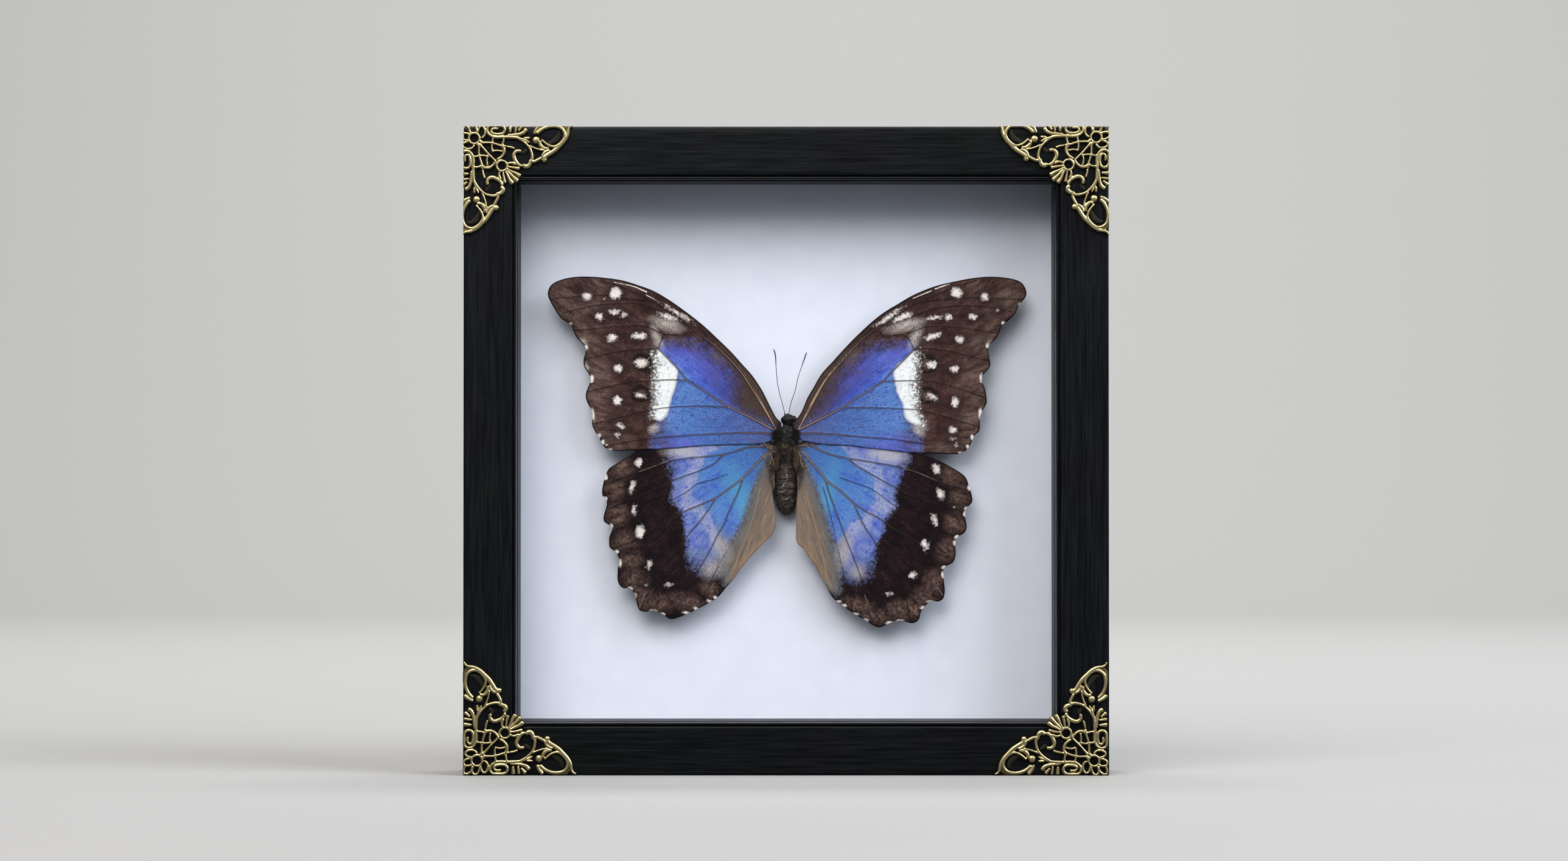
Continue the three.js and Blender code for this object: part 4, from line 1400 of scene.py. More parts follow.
@dataclass(frozen=True)
class Pattern:
    """The marks of one wing, in millimetres from the middle between the wings' hinges.

    An oval holds the fields of a Spot and a stroke those of a Line.
    """

    blue: Sequence[Point]
    bright: Sequence[Point]
    veins: Sequence[Stroke]
    spots: Sequence[Oval]
    greys: Sequence[Oval]
    notches: Sequence[Oval]
    rings: Sequence[Oval] = ()
    pales: Sequence[Oval] = ()
    deeps: Sequence[Oval] = ()
    sides: Sequence[Oval] = ()
    hazes: Sequence[Oval] = ()
    chalks: Sequence[Oval] = ()
    fades: Sequence[Oval] = ()
    streaks: Sequence[Stroke] = ()
    white: Sequence[Point] = ()
    fold: Sequence[Point] = ()


FOREWING_LEFT = Pattern(
    hazes=((-15.5, 15, 30, 7, -50), (-27, 25.5, 16, 4), (-36, -1, 6, 12)),
    deeps=((-18.5, 12.5, 9, 2.6, -44), (-26.5, 24.5, 14, 2.8, -8)),
    sides=((-22, 18.5, 7, 5, -50), (-31, -3.5, 14, 6), (-29, 23, 10, 3)),
    blue=((-0.3, -0.7), (-2.7, 1), (-8.8, 4.1), (-13.1, 6.5), (-15.2, 8.6), (-14.3, 11.5), (-15, 14.9),
        (-16.9, 18.2), (-20, 20.9), (-22.6, 23.7), (-26.9, 25.1), (-31.1, 26.1), (-34.2, 25.6), (-36, 23.5),
        (-32.9, 20.6), (-30.8, 17.2), (-31, 14.2), (-31.8, 11.7), (-32.7, 9.4), (-33.2, 6.5), (-34.1, 4.6),
        (-35.2, 3.4), (-35.2, 2.2), (-35, -7.5), (-0.3, -7.5)),
    bright=((-2, 0.2), (-15.5, 7.2), (-24.5, 12.9), (-30.8, 18.5), (-32.7, 9.4), (-35.6, 3.6),
        (-36.5, -7.5), (-0.3, -7.5)),
    white=((-36.3, 23.5), (-33.2, 20.9), (-30.8, 18.2), (-30.8, 17.2), (-31.1, 14.1), (-32, 11.5),
        (-32.7, 9.4), (-33.4, 6.3), (-34.2, 4.6), (-35.8, 3.6), (-37, 5), (-36.5, 7.9), (-36.5, 11.7),
        (-36.6, 14.2), (-36.3, 17.5), (-36.1, 20.9)),
    spots=((-48, 39.6, 3.4, 3.4), (-56.2, 38.6, 2.7, 2.1), (-50.9, 37.9, 0.7, 0.7),
        (-52.8, 32.8, 2.4, 2.1, -30), (-45.7, 33.3, 1.7, 1.2, 20), (-48.5, 34.3, 3.4, 1.4),
        (-41.4, 27.5, 4.5, 2.1), (-49, 26.8, 2.7, 2.2, 20), (-47.4, 18.4, 2.6, 2.6),
        (-40.9, 19.7, 3.8, 2.6, 10), (-41.1, 10.8, 3.1, 1.5, -15), (-47.6, 9.1, 2.6, 2.9, 20),
        (-46.8, 1.9, 2.4, 1.5, -25), (-47.6, -0.5, 1.5, 1, -20), (-50.4, -2.9, 0.9, 0.7),
        (-30.4, 33.7, 9, 1.3, -32), (-33.4, 32.9, 5.8, 1.4, -21)),
    fades=((-13.8, 12, 19, 5, -52), (-19.8, 19.4, 13, 6, -45), (-28, 24.8, 16, 4, -8), (-34.5, -2.5, 6, 8)),
    chalks=((-33.6, 30.8, 8, 2.6, -15), (-36.4, 27, 2.2, 6, 25), (-37.4, 1.4, 2.8, 2, 40),
        (-56.6, 18.2, 1.6, 3, 10), (-55.4, 4.4, 2.2, 4), (-57.4, 25.4, 2, 2.6)),
    rings=((-40.3, 19.9, 5.8, 5.2), (-40.9, 11.2, 5.4, 4.8)),
    notches=((-56.4, 24.2, 0.9, 1.2), (-54.8, 15.4, 1, 1.9), (-54.7, 5.5, 1.2, 3.1, 10),
        (-52.9, -0.9, 1, 1.7, -25), (-51.7, -2.6, 0.9, 1.4, -25), (-61, 30.7, 1.2, 0.7, 30),
        (-50, -4.6, 1.7, 0.5)),
    greys=((-34.1, 30.7, 7.6, 4.5, -30), (-19.4, 21.6, 5, 3.4, -40), (-36.3, 26.1, 6.9, 4.5),
        (-54.3, 36.4, 10.3, 5.1), (-52.6, 11.5, 7.6, 4.1), (-48.3, -2.2, 10.3, 3.4), (-56, 26.1, 5.1, 3.8),
        (-52.6, 17.5, 6.2, 4.8), (-54.3, 3.8, 3.4, 4.5)),
    streaks=(
        (((-48.5, 42.6), (-43.2, 41.5), (-39.4, 39.9)), 0.15, 0.3),
        (((-39.4, 39), (-36, 37.2)), 0.2, 0.1),
    ),
    veins=(
        (((-2, 0.2), (-9.7, 4.3), (-15.5, 7.2), (-20.8, 10.5), (-24.5, 12.9), (-27.7, 14.9), (-30.8, 18.5),
          (-36.1, 23.9)), 1.6, 0.8),
        (((-27.7, 14.8), (-31.8, 15.1), (-36.6, 14.9), (-45.2, 14.2), (-56.4, 11.7)), 0.9, 0.35),
        (((-16, 7.2), (-20.8, 7.6), (-28.2, 7.6), (-35.6, 7), (-44.9, 5), (-54.1, 2.7)), 0.9, 0.35),
        (((-2.3, -0.2), (-9.7, 0.2), (-20.8, -0.2), (-31.8, -0.9), (-43, -2.1), (-50.4, -3.6)), 1.2, 0.4),
        (((-2.5, 0.5), (-5.9, 6.5), (-9.7, 12.7), (-13.3, 18), (-17.8, 22.8), (-22.6, 26.8), (-27, 30.2),
          (-31.8, 33.8), (-37.5, 37.2), (-43, 39.8), (-48.1, 41.9), (-52.6, 43.1)), 1.6, 0.6),
        (((-3.3, 2.1), (-7.8, 10.6), (-11.9, 17.2), (-16, 22.1), (-20.8, 26.8), (-26, 31.2),
          (-31.1, 35)), 1.2, 0.5),
        (((-26, 29), (-27.4, 28), (-28.9, 27.5), (-31.8, 27.8), (-34.1, 27.8), (-35.1, 26.4),
          (-36.1, 23.9)), 0.7, 0.6),
        (((-34.1, 27.8), (-40.1, 30.2), (-46.8, 30.2), (-54.1, 29.5), (-59.6, 29)), 0.6, 0.3),
        (((-36.1, 23.9), (-43, 23.5), (-50.4, 22.5), (-56.7, 20.9)), 0.7, 0.3),
        (((-28.2, 30.5), (-35.4, 34.3), (-42.3, 36.6), (-50.4, 36.4), (-56, 35.7),
          (-63.4, 33.8)), 0.7, 0.3),
        (((-37.5, 37.2), (-46.8, 38.3), (-51.9, 39), (-65.1, 38.1)), 0.6, 0.3),
    ),
)

FOREWING_RIGHT = Pattern(
    hazes=((15, 14.5, 34, 7, 52), (27, 25, 16, 4), (36, -1, 6, 12)),
    deeps=((14, 8.6, 14, 1.4, 52), (19.5, 14.5, 12, 1.2, 48), (27, 24.5, 14, 2.8, 8),
        (25.5, 17.6, 12, 0.9, 42)),
    sides=((20.5, 17.5, 9, 4, 45), (31, -3.5, 14, 6), (31, 22.5, 8, 3, 40)),
    blue=((0.8, -0.7), (3.5, 1.4), (7.5, 3.4), (10, 6.2), (12.1, 9.3), (14.5, 13), (17.2, 17.2),
        (20, 20.2), (22.9, 22.7), (26.3, 24.4), (30.6, 25.1), (34.1, 25.9), (35.8, 23.7), (33, 20.6),
        (30.6, 18), (30.5, 15.4), (31.1, 12.4), (32.3, 9.8), (33, 7.6), (33.4, 5.3), (34.4, 3.4),
        (35.2, 2.1), (35.2, -7.5), (0.8, -7.5)),
    bright=((2, 0.3), (16.2, 7.6), (24.8, 13), (30.3, 17.8), (32.3, 9.8), (34.7, 3.4), (36.6, -7.5),
        (0.8, -7.5)),
    white=((36, 23.2), (32.2, 19.7), (30.6, 18), (30.6, 15.4), (31.1, 12.4), (32.3, 9.8), (33, 7.6),
        (33.4, 5.3), (34.7, 3.4), (36.6, 2.4), (38.4, 2.2), (37.3, 3.9), (36.3, 6.5), (36.3, 10.1),
        (36, 13.9), (36.1, 16.8), (36.5, 20.6), (36.3, 22.5)),
    spots=((48, 39.5, 3.4, 2.9), (56, 38.6, 2.7, 2.1, 20), (45.9, 32.8, 2.1, 1.9),
        (41.8, 32.6, 3.8, 1.2, 10), (52.8, 32.8, 2.4, 1.9), (41.4, 27.3, 4.8, 1.9, 15),
        (49, 26.6, 2.4, 2.2), (41.1, 19.4, 3.1, 2.2), (47.3, 18.2, 2.4, 2.4), (41.1, 10.3, 3.4, 1.5, -20),
        (47.6, 8.8, 2.2, 2.9), (46.8, 1.2, 2.4, 1.9), (46.9, -1.5, 1.4, 0.7), (47.8, -3.1, 0.9, 0.7),
        (59.8, 34.7, 1, 0.9), (28.7, 32.7, 8.4, 1.3, 33), (32.9, 32.8, 5.8, 1.5, 25)),
    fades=((12.8, 11, 19, 5, 54), (19.4, 19.2, 13, 7, 46), (28.5, 24.6, 15, 4, 8), (34.5, -2.5, 6, 8)),
    chalks=((33.6, 30.6, 9, 2.8, 12), (36.4, 27, 2.4, 6, -25), (37.4, 0.8, 3.2, 2.2, -40),
        (56.8, 16, 1.8, 4, -10), (55.6, 4, 2.2, 4), (57.6, 25, 2, 2.6)),
    rings=((39.8, 19.4, 6, 5.2), (39.7, 10.7, 5.6, 4.9)),
    notches=((61.2, 31.1, 1, 1), (56.9, 24.7, 0.9, 1.2), (55, 15.6, 0.9, 2.1), (54.8, 5.5, 1, 2.7),
        (52.6, -1.2, 1, 1.5, 25), (51.2, -3.8, 0.9, 1.2, 25), (66, 36.4, 0.9, 0.9), (49.5, -5.5, 1.4, 0.5)),
    greys=((18.2, 21.2, 5.6, 4.2, 45), (33.4, 30.4, 6.5, 3.1, 25), (37.2, 26.1, 6.2, 4.5),
        (63.2, 38.8, 7.6, 5.1), (58.4, 23.5, 4.5, 4.1), (52.9, 15.4, 5.1, 5.1), (51.6, 3.8, 5.8, 4.1),
        (42.6, -3.9, 12, 2.4), (53.6, 26.1, 5.1, 3.4), (48.6, 12.4, 5.1, 3.4)),
    streaks=(
        (((35.8, 38.1), (40.9, 40.2)), 0.15, 0.25),
        (((42, 40.8), (46.1, 42.2)), 0.3, 0.15),
    ),
    veins=(
        (((2, 0.3), (6.3, 2.4), (11.8, 5.1), (16.2, 7.6), (21, 10.6), (24.8, 13), (27.5, 14.9),
          (30.3, 17.8), (36, 23.5)), 1.6, 0.8),
        (((27.4, 14.6), (32.2, 14.8), (37.7, 14.8), (43.3, 14.2), (50.7, 12), (56.2, 10)), 0.9, 0.35),
        (((16.2, 7.2), (24.8, 7.2), (32.2, 6.9), (37.7, 6.5), (45.2, 4.6), (54, 1.9)), 0.9, 0.35),
        (((2, -0.3), (6.3, 0), (13.6, -0.3), (21, -1), (30.3, -1.7), (39.6, -3.1)), 1.2, 0.4),
        (((3.2, 0.9), (5.6, 5), (8.2, 9.8), (11.1, 14.9), (14.8, 19.4), (18.8, 23.9), (22.6, 27.6),
          (26.2, 30.2), (32.2, 34.3), (37.7, 37.1), (43.3, 39.5), (48.1, 41.5), (53.6, 43.1)), 1.6, 0.6),
        (((4.2, 2.7), (7.6, 9.8), (11.8, 16.5), (16.9, 22.7), (22.1, 28), (27.5, 32.3),
          (32, 35)), 1.2, 0.5),
        (((26.2, 29), (27, 27.8), (28.4, 27.5), (32.2, 27.8), (34.1, 27.3), (35.1, 25.7),
          (36, 23.7)), 0.7, 0.6),
        (((36, 23.5), (39.6, 23.9), (45.2, 23.3), (50.7, 22), (57.4, 20.4)), 0.7, 0.3),
        (((34.4, 28.1), (38.9, 29.9), (43.3, 30.2), (48.8, 29.9), (54.5, 29), (59.6, 28.3)), 0.6, 0.3),
        (((28.4, 30.2), (36, 33.1), (41.4, 35), (48.8, 36), (56.2, 35.7), (63.9, 34.3)), 0.7, 0.3),
        (((37.7, 37.1), (46.1, 37.9), (52.9, 38.3), (66, 37.8)), 0.6, 0.3),
    ),
)

HINDWING_LEFT = Pattern(
    hazes=((-22, -38, 13, 11), (-33, -8, 6, 8)),
    deeps=((-22.6, -15.6, 9, 2.8, 34), (-20, -12.4, 7, 1.6, 22), (-15.5, -26.5, 3, 6, 25)),
    sides=((-12, -18.5, 5.5, 18, 24),),
    blue=((-2, -4.8), (-15.7, -2.7), (-31.6, -3.9), (-32, -6.2), (-32.2, -7.9), (-31.3, -10.3),
        (-32, -13.7), (-31.8, -16.6), (-32.3, -18.9), (-30.5, -20.1), (-29.4, -22.5), (-28.6, -25.2),
        (-28.2, -28.1), (-27.7, -31.1), (-28.1, -34), (-26.7, -36.6), (-24.6, -38.3), (-21.7, -39.1),
        (-18.8, -36.9), (-16.7, -33.5), (-14.7, -29.3), (-12.4, -25.4), (-10.9, -21.1), (-9.5, -16.6),
        (-8.3, -13.2), (-6.6, -9.4), (-5.1, -7.6)),
    bright=((-2, -4.8), (-13.1, -3.1), (-21.5, -5.5), (-23.1, -8.2), (-24.6, -10.6), (-25.5, -13.7),
        (-26.3, -16.6), (-26.2, -18), (-24.3, -19.2), (-23.1, -21.8), (-21.4, -23.5), (-20, -26.3),
        (-19, -28.3), (-16.2, -29.2), (-12.4, -24.7), (-9.5, -16.6), (-5.1, -7.6)),
    fold=((-5.1, -6.9), (-6.6, -9.4), (-8.3, -13.2), (-9.5, -16.6), (-10.9, -21.1), (-12.4, -25.4),
        (-14.7, -29.3), (-16.7, -33.5), (-18.1, -37.4), (-15.7, -42.6), (1.5, -30.5), (1.5, -5.7)),
    spots=((-41.6, -8.1, 2.2, 2.7, -20), (-43.3, -15.1, 1.7, 3.6, -15), (-42.8, -21.6, 1.5, 2.7, -10),
        (-41.2, -27.8, 2.8, 3.6, -15), (-38.7, -37.1, 1.2, 2.6, -15), (-32.9, -42.7, 1.7, 0.9),
        (-39.4, -42.6, 0.7, 0.7)),
    rings=((-29.8, -9.3, 4.1, 4.1), (-27.5, -24.2, 4.1, 4.1), (-24.3, -30, 5.5, 5.5)),
    notches=((-50.9, -12.4, 0.7, 1), (-51.1, -18.5, 0.9, 0.9), (-49.3, -26.4, 0.7, 1),
        (-47.8, -33.5, 0.9, 0.9), (-46.9, -36.4, 0.7, 1.4), (-44, -43.8, 1, 0.7), (-42.6, -45.8, 0.7, 1),
        (-37.5, -50.1, 1.2, 0.5), (-34.9, -51, 0.9, 0.5), (-27.7, -50.8, 1.4, 0.5, -20),
        (-25.1, -49.6, 1.2, 0.5, -25), (-21.4, -47.5, 1, 0.5, -30), (-19.8, -46.5, 1, 0.5, -35)),
    greys=((-45.7, -10, 5.8, 5.1), (-47.8, -16, 5.1, 4.5), (-46.9, -22.8, 5.8, 5.1),
        (-44.9, -30.5, 5.8, 4.8), (-43.2, -35.7, 5.5, 4.1), (-42.3, -41.2, 6.2, 4.8),
        (-36.3, -47.7, 8.6, 4.1), (-40.6, -45.6, 5, 5), (-28, -47.6, 9, 4.4, -18),
        (-21.5, -44, 5, 3.6, -30)),
    pales=((-28.2, -5, 9.4, 2.8), (-27.4, -20.6, 7, 3, 20)),
    fades=((-22, -39.5, 15, 11), (-17.2, -31, 3.4, 9, 20)),
    chalks=((-29.4, -5, 9.4, 3.4), (-18.4, -32, 4.4, 8, 20), (-20.6, -38, 6, 5, 20)),
    streaks=(
        (((-41.4, -10.8), (-36, -8.8), (-33, -7.6)), 0.06, 0.06),
        (((-41.5, -49.4), (-39.7, -45.1)), 0.2, 0.1),
    ),
    veins=(
        (((-3.9, -3.9), (-10.2, -3.9), (-15.9, -5.5), (-20.3, -6.3), (-24.6, -6.7), (-28.9, -7.2),
          (-32.7, -7.9), (-37.3, -9.6), (-41.6, -11), (-49.2, -13.7)), 1.2, 0.35),
        (((-17.2, -5.9), (-18.6, -6.9), (-20.8, -8.9), (-24.6, -10.6), (-28.4, -12), (-32.3, -13.4),
          (-37.7, -16.3), (-46.2, -19.6), (-50, -21.3)), 0.9, 0.35),
        (((-16.6, -11.5), (-20.3, -12.9), (-25.1, -14.2), (-27.5, -16.1), (-31.5, -18.4), (-43.2, -24),
          (-49, -26.4)), 0.3, 0.5),
        (((-3.9, -4.1), (-7.3, -7.4), (-10.2, -10.6), (-12.1, -12.5), (-15.9, -15.4), (-19.6, -18),
          (-23.1, -19.7), (-28.6, -22), (-31.8, -23.9), (-41.4, -29.7), (-48.6, -32.3)), 1.6, 0.35),
        (((-19.6, -18), (-21.4, -20.8), (-23.8, -24.2), (-26.7, -27.6), (-28.9, -30.5), (-33.5, -36.9),
          (-41.1, -48.6)), 1, 0.35),
        (((-12.1, -12.5), (-13.3, -16.1), (-15.9, -21.6), (-17.6, -25.9), (-19.5, -29), (-21.7, -33.5),
          (-24.6, -38.3), (-31.5, -51.1)), 1, 0.35),
        (((-8.5, -13.9), (-11.1, -20.8), (-12.1, -25.2), (-14.5, -29.7), (-17.1, -34), (-21.7, -42.6),
          (-24.3, -48)), 0.3, 0.35),
        (((-7.3, -15.3), (-9, -22.5), (-11.6, -29.7), (-13, -33.5), (-14.7, -38.3)), 0.3, 0.4),
    ),
)

HINDWING_RIGHT = Pattern(
    hazes=((19.5, -40, 12, 11), (32.5, -8, 6, 8)),
    deeps=((22.4, -21, 8, 1.6, -30), (19.5, -13, 7, 2, -22), (13.4, -26, 2.6, 6, -10)),
    sides=((10.5, -19, 4.5, 22, -18),),
    blue=((2.1, -4.8), (16.9, -2.7), (32.7, -5.1), (33, -7.6), (32.3, -10), (31.8, -13.2), (30.6, -16.6),
        (31, -20.1), (29.3, -21.8), (27.7, -24.7), (27.4, -27.3), (25.7, -30.2), (25.1, -32.8),
        (24.6, -35.3), (22.7, -39.1), (20, -41.2), (17.1, -40.7), (15, -38.3), (14.2, -34.8), (13.5, -31.1),
        (12.4, -27.5), (11.2, -23.7), (9.9, -19.9), (8.7, -16.1), (6.9, -11.7), (4.5, -7.6)),
    bright=((2.1, -4.8), (13.5, -3.1), (16.9, -5.5), (18.3, -7), (20, -9.4), (23.9, -11.2), (24.6, -14.2),
        (25.3, -17.8), (24.8, -20.1), (22.2, -21.3), (21.7, -23.5), (18.4, -25.2), (16.7, -28.1),
        (14.7, -30.2), (13.6, -31.1), (11.2, -23.7), (8.7, -16.1), (4.5, -7.6)),
    fold=((4.5, -6.9), (6.9, -11.7), (8.7, -16.1), (9.9, -19.9), (11.2, -23.7), (12.4, -27.5),
        (13.5, -31.1), (14.2, -34.8), (15, -38.3), (13.5, -45.1), (-2, -30.5), (-2, -5.7)),
    spots=((42.3, -10, 2.1, 3.3, 15), (43.5, -17.2, 2.1, 3.3, 20), (41.8, -24.5, 1.7, 3.3, 15),
        (39.2, -31.4, 1.9, 3.3, 10), (35.6, -40, 1.9, 2.2, 10), (28.6, -45.3, 2.6, 0.9),
        (47.8, -20.8, 1.2, 0.3)),
    rings=((30.1, -12, 5.5, 5.5), (25.5, -27.6, 3.8, 5.5), (22.1, -32.8, 6.2, 6.2)),
    notches=((51.7, -15.3, 0.7, 1), (50.9, -21.3, 0.9, 0.7), (50.5, -22.7, 0.7, 0.9), (48.3, -29.3, 1, 0.7),
        (47.6, -30.9, 0.7, 1), (44.7, -37.8, 1, 0.5), (44.2, -39.8, 0.5, 1), (40.8, -47.5, 1.2, 0.5),
        (38.7, -49.2, 1, 0.5), (32.2, -52.9, 1.2, 0.5), (29.3, -53.5, 1.2, 0.5), (22.2, -52.7, 1, 0.5),
        (19.3, -51, 1.2, 0.5), (16, -48.6, 1, 0.5), (14.5, -47.5, 1, 0.5)),
    greys=((46.1, -11.7, 5.8, 5.1), (49, -18.5, 5.1, 4.8), (47.4, -25.1, 5.1, 4.5), (45.2, -33.1, 5.1, 5.1),
        (41.8, -41.7, 5.8, 5.8), (35.8, -49.4, 6.9, 4.5), (25.5, -51.5, 8.6, 3.8), (31.5, -50, 7, 5),
        (20.5, -48.5, 8, 4, -18), (39, -45.8, 6, 5)),
    pales=((28.4, -6.2, 9.4, 3.4, -6), (28.6, -21, 6, 3, -20)),
    fades=((19.4, -41.5, 15, 11), (15.2, -33, 3.4, 9, -20)),
    chalks=((28.4, -6, 9.4, 3.8, -6), (16.4, -33.4, 4, 8, -15), (20, -39, 4, 4, -10)),
    streaks=(
        (((32.3, -9.6), (37.4, -11.2), (42.6, -13.4)), 0.06, 0.06),
        (((42.6, -43.4), (44.4, -46)), 0.16, 0.1),
        (((22.1, -45.5), (23.2, -48.6)), 0.16, 0.1),
    ),
    veins=(
        (((4.4, -5.1), (7.3, -8.2), (10, -11.5), (11.8, -13.6), (15.4, -16.3), (19.1, -19.6), (22.7, -22.1),
          (26.9, -24.4), (30.6, -27.1), (40.9, -33.1), (47.8, -35.7)), 1.6, 0.35),
        (((19.3, -20.1), (20.5, -23), (22.7, -27.3), (25.1, -30.7), (27.4, -35.3), (31, -41.2),
          (33.7, -46.3), (34.9, -52.5)), 1, 0.35),
        (((11.2, -13.2), (12.1, -16.6), (13.8, -21.3), (15.5, -25.9), (17.2, -30.5), (19.3, -35.7),
          (21.7, -42.7), (24.1, -53.5)), 1, 0.35),
        (((10.4, -15.1), (11.4, -18.5), (12.4, -22.5), (13.6, -27.6), (14.5, -32.3), (16.6, -40.8),
          (18.6, -50.1)), 0.3, 0.35),
        (((6.6, -3.3), (11.8, -5.7), (17.1, -7), (21, -7.6), (25.7, -8.4), (31.5, -9.4), (37.3, -11.2),
          (42.5, -13.4), (51.2, -16.1)), 1.2, 0.35),
        (((17.1, -7), (20, -9.1), (24.8, -12), (28.6, -14.1), (32.3, -16.1), (37.3, -18.4), (43, -20.9),
          (48.8, -24.4)), 0.9, 0.35),
        (((15.2, -12.5), (23.4, -15.4), (27.2, -17.8), (31, -20.6), (40.9, -25.7),
          (48.1, -29.5)), 0.3, 0.45),
        (((5.4, -16.6), (7.3, -23), (9, -29), (10.4, -35.3), (11.4, -40.8)), 0.3, 0.4),
    ),
)


@dataclass
class Wing:
    """One wing: a thin closed sheet with raised veins, a gentle wave and its marks stored by point."""

    node: str
    half: Half
    pattern: Pattern
    depth: float
    finish: WingScales
    hinge: float = 0.0
    tuck: float = 0.0
    grid: float = 0.36
    edge_step: float = 0.4
    thickness: float = 0.14
    vein_rise: float = 0.13
    wave: float = 0.22
    vein_width: float = 0.38
    vein_least: float = 0.16
    pale_band: float = 0.0
    notch_grow: float = 0.02

    def outline(self) -> np.ndarray:
        """The wing's outline, followed on the front of its CAD node and eased into a curve."""
        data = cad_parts[self.node].data
        places = np.array([v.co[:] for v in data.vertices]) / MM
        front = places[:, 1].min() + 0.05
        key = {i: tuple(np.round(p, 3)) for i, p in enumerate(places)}
        used: dict[tuple, None] = {}
        for face in data.polygons:
            ring = list(face.vertices)
            if all(places[i, 1] < front for i in ring):
                used.update({(key[a], key[b]): None for a, b in zip(ring, ring[1:] + ring[:1])})
        after = {a: b for (a, b) in used if (b, a) not in used}
        start = next(iter(after))
        loop, here = [start], after[start]
        while here != start:
            loop.append(here)
            here = after[here]
        corners = []
        for x, _, z in loop:
            up = z - HINGE_HEIGHT
            near = max(0.0, min(1.0, (34 - abs(x)) / 6)) * max(0.0, min(1.0, (abs(x) - 2.4) / 2))
            corners.append((x, up + self.tuck * near * max(0.0, min(1.0, (up + 7.5) / 2.0))))
        return smooth_path(corners, self.edge_step, closed=True)

    def triangulate(self, outline: np.ndarray) -> tuple[np.ndarray, list]:
        """Fills the outline with even triangles.

        Args:
            outline: the outline's points.

        Returns:
            Points in the wing's plane, with the outline's points first, and triangles.
        """
        low, high = outline.min(0), outline.max(0)
        xs = np.arange(low[0], high[0], self.grid)
        zs = np.arange(low[1], high[1], self.grid * 0.87)
        grid = np.array([(x + self.grid * 0.5 * (row % 2), z) for row, z in enumerate(zs) for x in xs])
        inside = grid[signed_distance(grid, outline) < -self.grid * 0.6]
        lines = [Line(*row) for row in (*self.pattern.veins, *self.pattern.streaks)]
        inside = inside[np.min([line.distance(inside, 0) for line in lines], axis=0) > self.grid * 0.4]
        points, count = outline, len(outline)
        edges = [(i, (i + 1) % count) for i in range(count)]
        for line in lines:
            path = smooth_path(line.route, self.grid)
            path = path[signed_distance(path, outline) < -self.grid * 0.5]
            edges += [(len(points) + i, len(points) + i + 1) for i in range(len(path) - 1)
                      if np.hypot(*(path[i + 1] - path[i])) < self.grid * 3]
            points = np.vstack([points, path])
        points = np.vstack([points, inside])
        out = geometry.delaunay_2d_cdt([Vector(p) for p in points], edges, [list(range(count))], 1, 1e-6)
        return np.array([v[:] for v in out[0]]), [tuple(face) for face in out[2]]

    def marks(self, points: np.ndarray, outline: np.ndarray) -> dict[str, np.ndarray]:
        """Works out what the finish needs to know at each point.

        Args:
            points: one row for each point of the wing.
            outline: the wing's outline.

        Returns:
            Names and values, most of them signed distances in millimetres.
        """
        seed = 3.0 + self.half.value
        shift, drift = (np.array([(soft_noise(x, z, size, seed), soft_noise(x, z, size, seed + 9))
                                  for x, z in points]) for size in (1.6, 5.0))
        torn = points + 0.3 * shift + 0.4 * drift
        far = np.full(len(points), 99.0)

        def area(shape: Sequence[Point]) -> np.ndarray:
            """Signed distance to a patch whose outline is eased."""
            return signed_distance(torn, smooth_path(shape, 0.9, closed=True)) if shape else far

        def nearest(kind: type, rows: Sequence, spread: np.ndarray) -> np.ndarray:
            """Signed distance to the nearest of several marks of one kind."""
            return np.min([kind(*row).distance(spread) for row in rows], axis=0)

        def cover(rows: Sequence[Oval], soft: float) -> np.ndarray:
            """1 in the middle of the ovals and 0 outside them."""
            shares = [np.clip((1 + soft / 2 - Spot(*row).reach(torn)) / soft, 0, 1) for row in rows]
            return np.max(shares, axis=0) if rows else 0 * far

        drawn = self.pattern
        blue, white = area(drawn.blue), area(drawn.white)
        blue = blue / (1 + 2.2 * cover(drawn.hazes, 0.8))
        white_fray = np.clip((blue - 0.5) / 1.2, 0.0, 1)
        edge = -signed_distance(points, outline)
        bright = area(drawn.bright)
        band = np.clip((bright + 0.15) / 0.4, 0, 1) * np.clip((self.pale_band - bright) / 1.6, 0, 1)
        veins = [Line(*row).distance(points, self.vein_width, self.vein_least) for row in drawn.veins]
        return {
            "blue": blue,
            "bright": bright,
            "white": white / (1 + 1.4 * white_fray),
            "fold": area(drawn.fold),
            "spot": nearest(Spot, drawn.spots, torn) + 0.2,
            "streak": nearest(Line, drawn.streaks, points + 0.12 * shift),
            "notch": nearest(Spot, drawn.notches, points + 0.1 * shift) - self.notch_grow,
            "pale": np.maximum(cover(drawn.pales, 0.5), 0.85 * band),
            "chalk": cover(drawn.chalks, 1.2),
            "fade": cover(drawn.fades, 1.4),
            "margin": np.clip((10 - edge) / 7, 0, 1) * np.clip((np.abs(points[:, 0]) - 42) / 8, 0, 1),
            "deep": cover(drawn.deeps, 1.1),
            "side": cover(drawn.sides, 1.1),
            "ring": np.min([Spot(*row).reach(torn) for row in drawn.rings], axis=0),
            "grey": cover(drawn.greys, 1.1),
            "vein": np.min(veins, axis=0),
            "edge": edge,
            "blue_fray": np.clip((np.abs(white) - 0.3) / 1.2, 0.04, 1),
            "white_fray": white_fray,
            "root": np.hypot(points[:, 0], points[:, 1] - self.hinge),
            "turn": np.arctan2(points[:, 1] - self.hinge, np.abs(points[:, 0])),
        }

